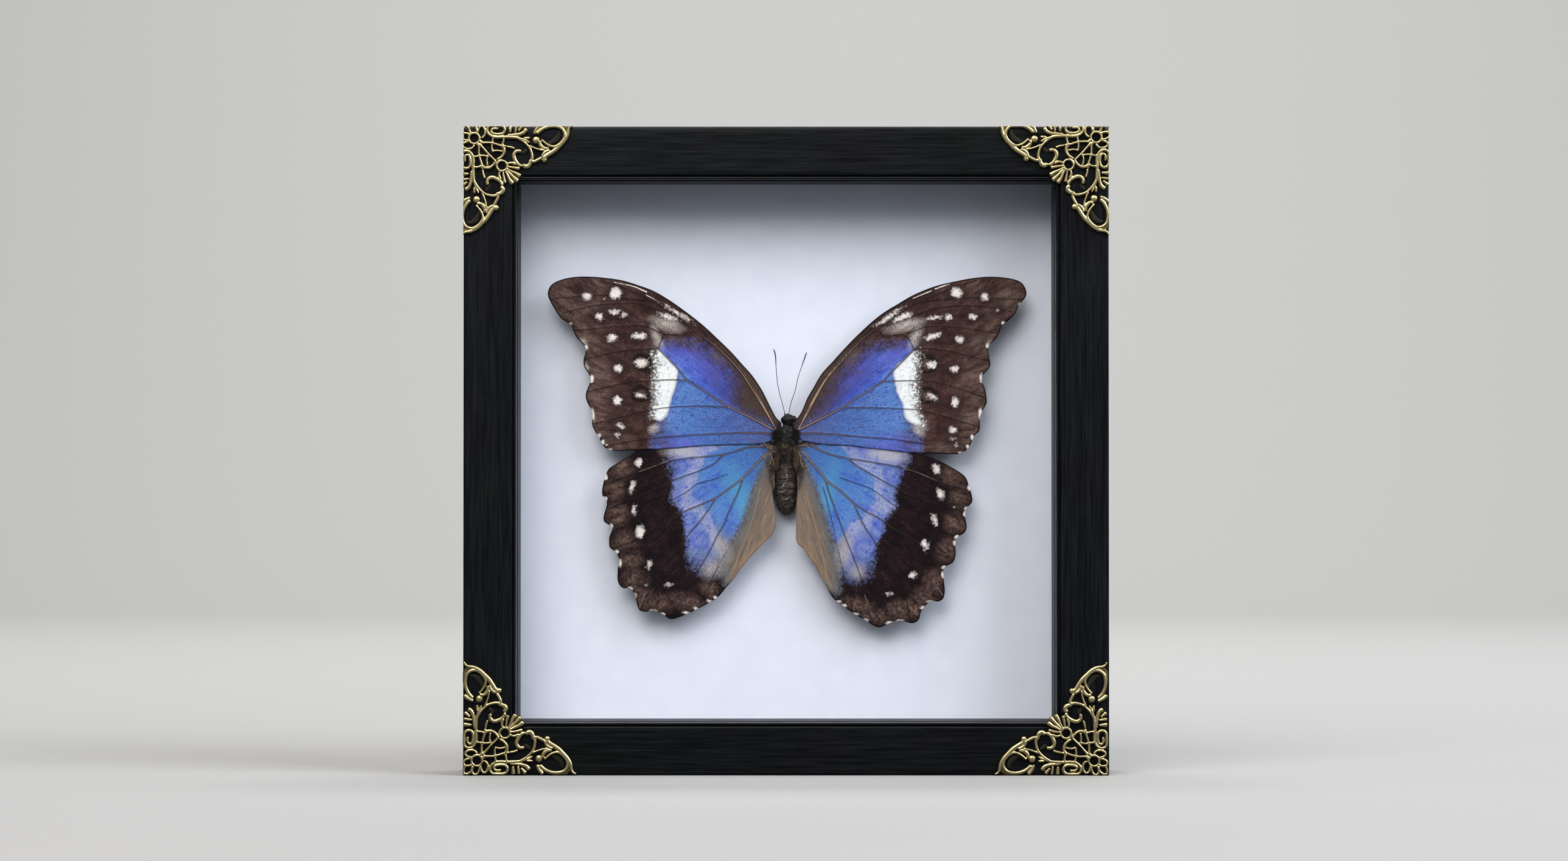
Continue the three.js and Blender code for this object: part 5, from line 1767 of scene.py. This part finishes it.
    def build(self) -> None:
        """Builds the wing."""
        outline = self.outline()
        points, triangles = self.triangulate(outline)
        marks = self.marks(points, outline)
        raised = np.exp(-(np.clip(marks["vein"] + 0.1, 0, 9) / 0.28) ** 2)
        calm = np.clip(marks["edge"] / 1.5, 0.0, 1)
        waves = np.array([soft_noise(x, z, 16.0, 2.0) + 0.35 * soft_noise(x, z, 5.0, 4.0) for x, z in points])
        middle = self.depth + self.wave * waves
        lift = self.vein_rise * raised * (0.4 + 0.6 * calm)
        half = self.thickness / 2 * (0.5 + 0.5 * calm)
        front, back = lifted(points, middle - half - lift), lifted(points, middle + half - 0.7 * lift)
        count = len(points)
        area = sum((points[b][0] - points[a][0]) * (points[c][1] - points[a][1])
                   - (points[c][0] - points[a][0]) * (points[b][1] - points[a][1])
                   for a, b, c in triangles[:50])
        shown = triangles if area > 0 else [t[::-1] for t in triangles]
        used = dict.fromkeys((a, b) for face in shown for a, b in zip(face, face[1:] + face[:1]))
        rim = [(a, b) for (a, b) in used if (b, a) not in used]
        faces = list(shown) + [tuple(i + count for i in face[::-1]) for face in shown]
        faces += [(b, a, a + count, b + count) for a, b in rim]
        piece = new_piece(self.node.replace("wing", "wing_sheet"), np.vstack([front, back]), faces,
                          self.finish.build(), "wing_scales", [self.node])
        for name, values in marks.items():
            set_attribute(piece.data, name, np.concatenate([values, values]))


# ---------------------------------------------------------------- the butterfly's body


@dataclass(frozen=True)
class Section:
    """A cross section of the body: height above the hinges, middle, half sizes, depth behind the front."""

    up: float
    across: float
    half_width: float
    half_thickness: float
    depth: float


@dataclass
class BodyPart:
    """A part of the insect's body, lofted through cross sections and roughened by a relief."""

    node: str
    name: str
    sections: Sequence[Section]
    finish: DryChitin
    relief: Callable[[float, float], float]
    rows: int = 90
    sides: int = 72
    shrink: float = 0.98

    def at(self, t: float, angle: float, lift: float = 0.0) -> np.ndarray:
        """A point of the skin.

        Args:
            t: place along the body, from 0 at the tail end to 1.
            angle: turn around the body in radians; -pi / 2 faces the front.
            lift: millimetres above the skin.

        Returns:
            The point in millimetres.
        """
        values = self.table[min(len(self.table) - 1, int(t * (len(self.table) - 1) + 0.5))]
        up, across, half_width, half_thickness, depth = values
        grow = lift + self.relief(up, angle)
        return np.array([across + (half_width * self.shrink + grow) * math.cos(angle),
                         FRONT + depth + (half_thickness * self.shrink + grow) * math.sin(angle),
                         HINGE_HEIGHT + up])

    def __post_init__(self) -> None:
        """Works out the cross sections between the given ones."""
        rows = [(s.up, s.across, s.half_width, s.half_thickness, s.depth) for s in self.sections]
        self.table = smooth_path(rows, (rows[-1][0] - rows[0][0]) / self.rows)

    def build(self) -> None:
        """Builds the part."""
        count = len(self.table)
        turns = np.arange(self.sides) / self.sides * 2 * math.pi
        verts = np.array([self.at(row / (count - 1), turn) for row in range(count) for turn in turns])
        tail, nose = verts[:self.sides].mean(0), verts[-self.sides:].mean(0)
        tail[2] -= 0.25 * self.table[0][2]
        nose[2] += 0.25 * self.table[-1][2]
        faces: list = loft_faces(count, self.sides)
        last = (count - 1) * self.sides
        for i in range(self.sides):
            j = (i + 1) % self.sides
            faces.append((count * self.sides, j, i))
            faces.append((count * self.sides + 1, last + i, last + j))
        piece = new_piece(self.name, np.vstack([verts, tail, nose]), faces, self.finish.build(),
                          "body_chitin", [self.node])
        reliefs = [self.relief(self.table[row][0], turn) for row in range(count) for turn in turns]
        set_attribute(piece.data, "rise", np.clip(0.5 + np.array(reliefs + [0, 0]) * 1.5, 0, 1))


@dataclass
class Coat:
    """A coat of hair: thousands of thin bent cones with closed roots."""

    name: str
    finish: Hair
    thickness: float = 0.035
    seed: int = 5

    def __post_init__(self) -> None:
        """Starts an empty coat with its own random numbers."""
        self.random = np.random.default_rng(self.seed)
        self.parts: list[Shape] = []
        self.shades: list[float] = []

    def strand(self, root: np.ndarray, lean: np.ndarray, length: float, droop: float = 0.3,
               width: float = 1.0) -> None:
        """Adds a hair.

        Args:
            root: where it starts.
            lean: its direction.
            length: its length in millimetres.
            droop: how far it bends, as a share of its length.
            width: factor on its thickness.
        """
        lean = np.asarray(lean, float) / max(np.linalg.norm(lean), 1e-9)
        bend = self.random.normal(0, 1, 3) * droop * 0.35
        middle = root + lean * length * 0.5
        tip = root + lean * length + bend * length
        side = np.cross(lean, [0.3, 0.8, 0.52])
        side /= max(np.linalg.norm(side), 1e-9)
        other = np.cross(lean, side)
        radius = self.thickness * width
        verts = []
        for place, size in ((root, radius), (middle, radius * 0.8)):
            for k in range(3):
                turn = 2 * math.pi * k / 3
                verts.append(place + size * (math.cos(turn) * side + math.sin(turn) * other))
        verts.append(tip)
        self.parts.append((np.array(verts), [(2, 1, 0), (0, 1, 4, 3), (1, 2, 5, 4), (2, 0, 3, 5), (3, 4, 6),
                                             (4, 5, 6), (5, 3, 6)]))
        self.shades += [float(self.random.random())] * 7

    def build(self) -> None:
        """Makes one piece of all the hairs."""
        piece = new_piece(self.name, *joined(self.parts), self.finish.build(), "body_chitin")
        set_attribute(piece.data, "strand", np.array(self.shades))


@dataclass
class Body:
    """The insect's body: head with two round eyes, furry thorax and ringed abdomen."""

    head: Sequence[Section] = (
        Section(2.1, 0.4, 1.3, 1.3, 15.9), Section(3.2, 0.7, 1.65, 1.55, 15.6),
        Section(4.2, 0.8, 1.8, 1.7, 15.6), Section(5, 0.6, 1.3, 1.2, 15.7), Section(5.5, 0.4, 0.5, 0.5, 15.8))
    thorax: Sequence[Section] = (
        Section(-8.6, 0, 2.5, 2.0, 16.5), Section(-7.4, 0, 3, 2.7, 16.2), Section(-5, 0, 3.3, 3.4, 16),
        Section(-2.5, 0, 3.2, 3.7, 15.9), Section(0, 0, 2.8, 3.6, 15.9), Section(1.6, 0.2, 1.9, 2.8, 15.9),
        Section(2.4, 0.4, 1, 1.4, 15.9))
    abdomen: Sequence[Section] = (
        Section(-22.9, 0.1, 0.6, 0.7, 17.4), Section(-21.9, 0.1, 1.9, 1.5, 17.2),
        Section(-19.8, 0, 2.8, 2.1, 17), Section(-16.5, -0.1, 3.4, 2.5, 16.8),
        Section(-12.5, -0.2, 3.5, 2.7, 16.7), Section(-9.5, -0.1, 3.1, 2.6, 16.5),
        Section(-7.6, 0, 2.8, 2.3, 16.5))
    ring_places: Sequence[float] = (-21.3, -19.5, -17.6, -15.6, -12.9, -10.2)

    def abdomen_relief(self, up: float, angle: float) -> float:
        """Grooves between the segments, pleats along the sides and small wrinkles."""
        around = Vector((math.cos(angle) * 2.4, math.sin(angle) * 2.4, up))
        bend = 0.5 * noise.noise(around * 0.7)
        groove = -sum(0.14 * math.exp(-((up - ring + bend) / 0.16) ** 2) for ring in self.ring_places)
        ledge = sum(0.06 * math.exp(-((up - ring + bend - 0.4) / 0.3) ** 2) for ring in self.ring_places)
        pleat = 0.26 * math.exp(-((abs(math.cos(angle)) - 0.84) / 0.06) ** 2)
        creases = 0.12 * noise.noise(Vector((around.x * 0.6, around.y * 0.6, up * 2.6 + bend)))
        fine = 0.14 * noise.noise(around * 2.4) + 0.09 * noise.noise(around * 5.2)
        return groove + ledge - pleat + creases + 0.2 * noise.noise(around) + fine

    @staticmethod
    def thorax_relief(up: float, angle: float) -> float:
        """Lumps of matted fur."""
        around = Vector((math.cos(angle) * 2.2, math.sin(angle) * 2.2, up))
        return 0.34 * noise.noise(around) + 0.26 * noise.noise(around * 2.5) + 0.1 * noise.noise(around * 6)

    @staticmethod
    def head_relief(up: float, angle: float) -> float:
        """Small lumps."""
        around = Vector((math.cos(angle) * 3, math.sin(angle) * 3, up * 2))
        return 0.1 * noise.noise(around) + 0.05 * noise.noise(around * 3)

    def build(self) -> None:
        """Builds the body with its eyes, palps and fur."""
        # the last colour of each cuticle lies on the highest ridges: dust and painted highlight together
        black = DryChitin.of("black_chitin", "060505", "171210", "2a211e", 0.55)
        brown = DryChitin.of("brown_chitin", "130f0c", "3a302a", "65574c", 0.7)
        head = BodyPart("butterfly_head", "head_shell", self.head, black, self.head_relief, 40, 48)
        thorax = BodyPart("butterfly_thorax", "thorax_shell", self.thorax, black, self.thorax_relief)
        abdomen = BodyPart("butterfly_abdomen", "abdomen_shell", self.abdomen, brown, self.abdomen_relief,
                           150, 96)
        for part in (head, thorax, abdomen):
            part.build()
        self.eyes(black)
        self.fur(head, thorax, abdomen)
        self.glints()

    def eyes(self, black: DryChitin) -> None:
        """Builds the two compound eyes and the palps between them."""
        shine = DryChitin.of("compound_eye", "050506", "121013", "1d191b", 0.2).build()
        for name, x, z, size in (("left", -0.55, 3.75, 0.98), ("right", 2.05, 3.85, 1.05)):
            verts, faces = ball_mesh((0, 0, 0), (size, size * 1.1, size * 1.12), 26, 40)
            for i, vert in enumerate(verts):
                verts[i] = vert * (1 + 0.018 * noise.noise(Vector(vert * 9)))
            verts += np.array([x, FRONT + 15.0, HINGE_HEIGHT + z])
            piece = new_piece(f"compound_eye_{name}", verts, faces, shine, "body_chitin")
            set_attribute(piece.data, "rise", np.full(len(verts), 0.4))
        parts = []
        for route in (((-0.1, 4.4), (-0.3, 5.2), (-0.55, 5.8)), ((0.5, 4.6), (0.35, 5.2), (0.25, 5.6))):
            path = smooth_path(route, 0.1)
            parts.append(tube_mesh(lifted(path, FRONT + 15.3), np.linspace(0.34, 0.1, len(path))))
        new_piece("palps", *joined(parts), black.build(), "body_chitin")

    def fur(self, head: BodyPart, thorax: BodyPart, abdomen: BodyPart) -> None:
        """Grows the fur, which points to the tail and stands off the skin.

        Args:
            head: the head's shell.
            thorax: the thorax's shell.
            abdomen: the abdomen's shell.
        """
        coats = (
            (Coat("fur_black", Hair("black_fur", "060404", "231a17"), seed=5), thorax, 3200, 0.46, 1.0, 0.95),
            (Coat("fur_brown", Hair("brown_fur", "1c1411", "705a4b"), seed=6), thorax, 3000, 0.0, 0.52, 0.8),
            (Coat("fur_head", Hair("head_fur", "050505", "1c1817"), seed=7), head, 900, 0.0, 1.0, 0.6),
            (Coat("fur_abdomen", Hair("abdomen_fur", "17110e", "6a5848"), seed=8), abdomen, 1500, 0.0, 1.0,
             0.45))
        for coat, part, count, first, last, length in coats:
            pick = coat.random.uniform
            for _ in range(count):
                t, turn = pick(first, last), pick(-math.pi, math.pi)
                root = part.at(t, turn, -0.05)
                out = part.at(t, turn, 1.0) - part.at(t, turn, 0.0)
                lean = out * pick(0.15, 0.6) + np.array([0, 0, -1.0]) + coat.random.normal(0, 0.25, 3)
                coat.strand(root, lean, length * pick(0.5, 1.2))
            if part is thorax:
                self.tufts(coat)
            coat.build()
        self.wisps()

    @staticmethod
    def tufts(coat: Coat) -> None:
        """Adds the longer hair that runs from the thorax onto the wing roots."""
        dark, pick = coat.name == "fur_black", coat.random.uniform
        for _ in range(900 if dark else 1500):
            side = coat.random.choice((-1, 1))
            up = pick(-3.0, 1.2) if dark else pick(-9.5, -3.2)
            root = np.array([side * pick(2.0, 3.2), FRONT + pick(13.2, 14.0), HINGE_HEIGHT + up])
            lean = np.array([side * pick(0.3, 1.2), pick(-0.05, 0.1),
                             pick(-0.9, 0.1) if dark else pick(-2.4, -0.6)])
            reach = pick(0.5, 1.8) if dark else pick(0.6, 2.0) * (1 - 0.12 * (up + 3))
            coat.strand(root, lean, reach, 0.5, 0.9)

    @staticmethod
    def wisps() -> None:
        """Adds the matted tan locks on the wing roots and the long grey hair beside the abdomen."""
        locks = Coat("wing_root_locks", Hair("matted_lock", "4a3c33", "a08a72"), seed=12)
        routes = (
            ((-2.9, -3.9), (-4.4, -3.7), (-5.6, -3.4), (-6.6, -2.4)),
            ((-2.6, -4.6), (-4, -4.4), (-5.4, -3.9)),
            ((-3, -5.2), (-4.4, -5.6), (-4, -7), (-4.6, -8.8)), ((-2.9, -6.4), (-3.6, -7.6), (-3.5, -9.4)),
            ((-3.4, -4.9), (-5.2, -6), (-6.4, -7.4)), ((3, -3.8), (4.6, -3.3), (6, -3.6), (7, -3.4)),
            ((2.2, -4.2), (2.8, -5.2), (3.8, -4.9), (4.4, -4.2)),
            ((3.2, -5), (4, -6.6), (4.1, -8.2), (4.8, -9.8)),
            ((2.9, -5.6), (3.3, -7.2), (3.2, -9)), ((3.6, -4.8), (5.4, -5.8), (6.2, -7.2)))
        for route in routes:
            path = smooth_path(route, 0.25)
            for _ in range(9):
                spread = locks.random.normal(0, 0.09, 2)
                for here, after in zip(path[:-1], path[1:]):
                    place, ahead = here + spread, after + spread + locks.random.normal(0, 0.05, 2)
                    lean = np.array([ahead[0] - place[0], 0, ahead[1] - place[1]])
                    depth = FRONT + 13.35 + 0.1 * abs(spread[0])
                    root = np.array([place[0], depth, HINGE_HEIGHT + place[1]])
                    locks.strand(root, lean, 0.42, 0.1, 1.5)
        locks.build()
        veil = Coat("abdomen_veil", Hair("grey_hair", "2b2420", "9b8a7c"), seed=13)
        pick = veil.random.uniform
        for _ in range(1900):
            side = veil.random.choice((-1, 1))
            up = veil.random.triangular(-16.0, -8.0, -6.0)
            away = abs(veil.random.normal(0, 0.9)) * (1.6 + up / 12)
            root = np.array([side * (3.2 + away), FRONT + pick(13.7, 14.05), HINGE_HEIGHT + up])
            lean = np.array([side * pick(-0.1, 0.7), pick(-0.02, 0.05), -1.0])
            veil.strand(root, lean, pick(0.5, 2.4) * (1.3 + up / 24), 0.6, 0.8)
        veil.build()

    @staticmethod
    def glints() -> None:
        """Adds the raised dried folds and glue on the abdomen, pale as a painted highlight, and the ring of
        tan scales on the thorax.
        """
        routes = (((-1.9, -10.9), (-2.4, -11.4), (-2.2, -11.7)), ((-1.5, -10.4), (-1.7, -11.2)),
                  ((-0.7, -11.1), (-0.2, -11.3), (0.2, -12.0), (0.3, -12.9), (-0.1, -13.5)),
                  ((-0.5, -14.0), (-0.8, -14.7), (-1.2, -15.5)), ((-0.4, -18.6), (0.2, -18.5), (0.6, -18.2)),
                  ((-1.9, -16.4), (-1.2, -16.5), (-0.3, -16.2)))
        parts = []
        for route in routes:
            path = smooth_path(route, 0.12)
            depth = [FRONT + 16.7 - 2.7 * math.sqrt(max(0.0, 1 - (x / 3.5) ** 2)) + 0.02 for x, _ in path]
            reach = np.sin(np.linspace(0.25, math.pi - 0.25, len(path)))
            parts.append(tube_mesh(lifted(path, depth), 0.07 * reach + 0.02, 8))
        verts, faces = joined(parts)
        # their pale colour is a painted highlight where the folds and glue catch the light
        pale = Hair("painted_glint_fold", "8d7f70", "d6cabb")
        piece = new_piece("painted_glint_folds", verts, faces, pale.build(), "body_chitin")
        set_attribute(piece.data, "strand", np.random.default_rng(9).random(len(verts)))
        ring = Coat("thorax_ring", Hair("tan_scales", "4c3c31", "8d745e"), seed=10)
        for _ in range(240):
            turn = ring.random.uniform(0, 2 * math.pi)
            radius = ring.random.normal(0.55, 0.22)
            x, z = -0.35 + radius * math.cos(turn), -3.4 + radius * 0.9 * math.sin(turn)
            root = np.array([x, FRONT + 12.15, HINGE_HEIGHT + z])
            ring.strand(root, [math.cos(turn) * 0.4, -0.5, math.sin(turn) * 0.4 - 0.3], 0.32, 0.3, 1.4)
        ring.build()


@dataclass
class Antenna:
    """One antenna: a ringed thread that thickens into a slim club."""

    node: str
    route: Sequence[Point]
    depth: float = FRONT + 15.2
    thread: float = 0.09
    club: float = 0.17
    ring_step: float = 0.32

    def build(self) -> None:
        """Builds the antenna."""
        path = smooth_path(self.route, 0.08)
        t = np.linspace(0, 1, len(path))
        swell = np.clip((t - 0.72) / 0.22, 0, 1)
        radii = self.thread + (self.club - self.thread) * swell * swell * (3 - 2 * swell)
        radii *= 1 - 0.5 * np.clip((t - 0.97) / 0.03, 0, 1)
        radii *= 1 + 0.09 * np.cos(t * len(path) * 0.08 / self.ring_step * 2 * math.pi)
        chitin = DryChitin.of("antenna_chitin", "14121a", "2a2732", "3b3844", 0.45)
        new_piece(self.node + "_thread", *tube_mesh(lifted(path, self.depth), radii), chitin.build(),
                  "antenna", [self.node])


@dataclass
class Butterfly:
    """The whole insect."""

    fore: WingScales = field(default_factory=lambda: WingScales("forewing_scales"))
    hind: WingScales = field(default_factory=lambda: WingScales(
        "hindwing_scales", dusting=0.25, greying=0.95, root_reach=24.0, brown_dark="0d0408", brown="200e11",
        brown_pale="856a5e", field="7681ba", field_bright="4a86c2", field_deep="3350b4",
        field_pale="a9b0c6", field_side="58a0c6", field_root="46608c", scuff="3d5a86", pale="bfc0cc",
        spot="eadfdb", streak="94827a", chalk="beb3ab", vein_far="2c1e1c"))

    def build(self) -> None:
        """Builds wings, body and antennae."""
        for half, fore, hind in ((Half.LEFT, FOREWING_LEFT, HINDWING_LEFT),
                                 (Half.RIGHT, FOREWING_RIGHT, HINDWING_RIGHT)):
            name = half.name.lower()
            Wing(f"forewing_{name}", half, fore, FRONT + 14.2, self.fore, 0.5).build()
            Wing(f"hindwing_{name}", half, hind, FRONT + 14.5, self.hind, -3.0, 2.2, pale_band=3.8,
                 notch_grow=0.18).build()
        Body().build()
        Antenna("antenna_left", ((-0.4, 5.6), (-0.8, 7.4), (-1.8, 11), (-2.5, 14.6), (-2.8, 18.2), (-3, 21.8),
                                 (-3.5, 23.8))).build()
        Antenna("antenna_right", ((0.7, 5.3), (1.4, 8.7), (2.5, 11.9), (3.4, 15.9), (4.5, 19.2),
                                  (5.8, 22.9))).build()


# ---------------------------------------------------------------- studio


@dataclass
class Studio:
    """A pale sweep, a large soft light on each side, a wash on the backdrop, and the camera."""

    flat: float = 1.6
    bend: float = 1.1
    wall_top: float = 3.0
    lens: float = 98.86
    camera_place: tuple[float, float, float] = (-0.0006, -1.214, 0.078)
    tilt: float = 0.864

    def build(self) -> None:
        """Builds everything that isn't the object."""
        scene = bpy.context.scene
        scene.view_settings.view_transform = "Standard"
        self.sweep()
        self.world()
        self.light("key", (-0.34, -1.0, 1.12), 1.0, 14.0, "fffaf6")
        self.light("second", (1.16, -0.7, 1.04), 1.0, 18.6, "f4f6ff")
        self.light("backdrop_wash", (0.1, 0.7, 1.9), 1.2, 42.0, "ffffff", (0.0, 2.5, 0.35))
        camera = bpy.data.objects.new("camera", bpy.data.cameras.new("camera"))
        scene.collection.objects.link(camera)
        camera.data.sensor_width = 36.0
        camera.data.lens = self.lens
        camera.location = self.camera_place
        camera.rotation_euler = (math.radians(90 + self.tilt), 0.0, 0.0)
        scene.camera = camera

    def sweep(self) -> None:
        """Builds the floor, which curves up into a backdrop."""
        profile = [(-2.5, 0.0), (self.flat, 0.0)]
        profile += [(self.flat + self.bend * math.sin(a), self.bend - self.bend * math.cos(a))
                    for a in np.linspace(0.1, math.pi / 2, 14)]
        profile.append((self.flat + self.bend, self.wall_top))
        verts = [(x, y, z) for y, z in profile for x in (-4.0, 4.0)]
        faces = [(2 * i, 2 * i + 1, 2 * i + 3, 2 * i + 2) for i in range(len(profile) - 1)]
        mesh = bpy.data.meshes.new("floor")
        mesh.from_pydata(verts, [], faces)
        mesh.polygons.foreach_set("use_smooth", [True] * len(faces))
        floor = bpy.data.objects.new("floor", mesh)
        bpy.context.scene.collection.objects.link(floor)
        floor.data.materials.append(StudioPaper().build())
        # kept out of the glass's reflections, as with black card in front of a lens
        floor.visible_glossy = floor.visible_transmission = False

    @staticmethod
    def world() -> None:
        """A dim even light from all sides."""
        world = bpy.data.worlds.new("soft_room")
        world.use_nodes = True
        world.node_tree.nodes["Background"].inputs["Color"].default_value = linear("dfe5f2")
        world.node_tree.nodes["Background"].inputs["Strength"].default_value = 0.06
        bpy.context.scene.world = world

    @staticmethod
    def light(name: str, place: Sequence[float], size: float, power: float, colour: str,
              target: Sequence[float] = (0.0, 0.0, HINGE_HEIGHT * MM)) -> None:
        """Adds a square area light.

        Args:
            name: its name.
            place: where it stands.
            size: its side in metres.
            power: its power in watts.
            colour: its colour.
            target: the point it looks at; left out, the middle of the box.
        """
        data = bpy.data.lights.new(name, "AREA")
        data.size, data.energy = size, power
        data.color = linear(colour)[:3]
        lamp = bpy.data.objects.new(name, data)
        bpy.context.scene.collection.objects.link(lamp)
        lamp.location = place
        aim = Vector(target) - Vector(place)
        lamp.rotation_euler = aim.to_track_quat("-Z", "Y").to_euler()


def main() -> None:
    """Builds the specimen and its studio."""
    logging.basicConfig(level=logging.INFO, format="%(message)s")
    Studio().build()
    Moulding().build()
    FlatSheets().build()
    Hardware().build()
    CornerFiligree().build()
    Butterfly().build()


if __name__ == "__main__":
    main()
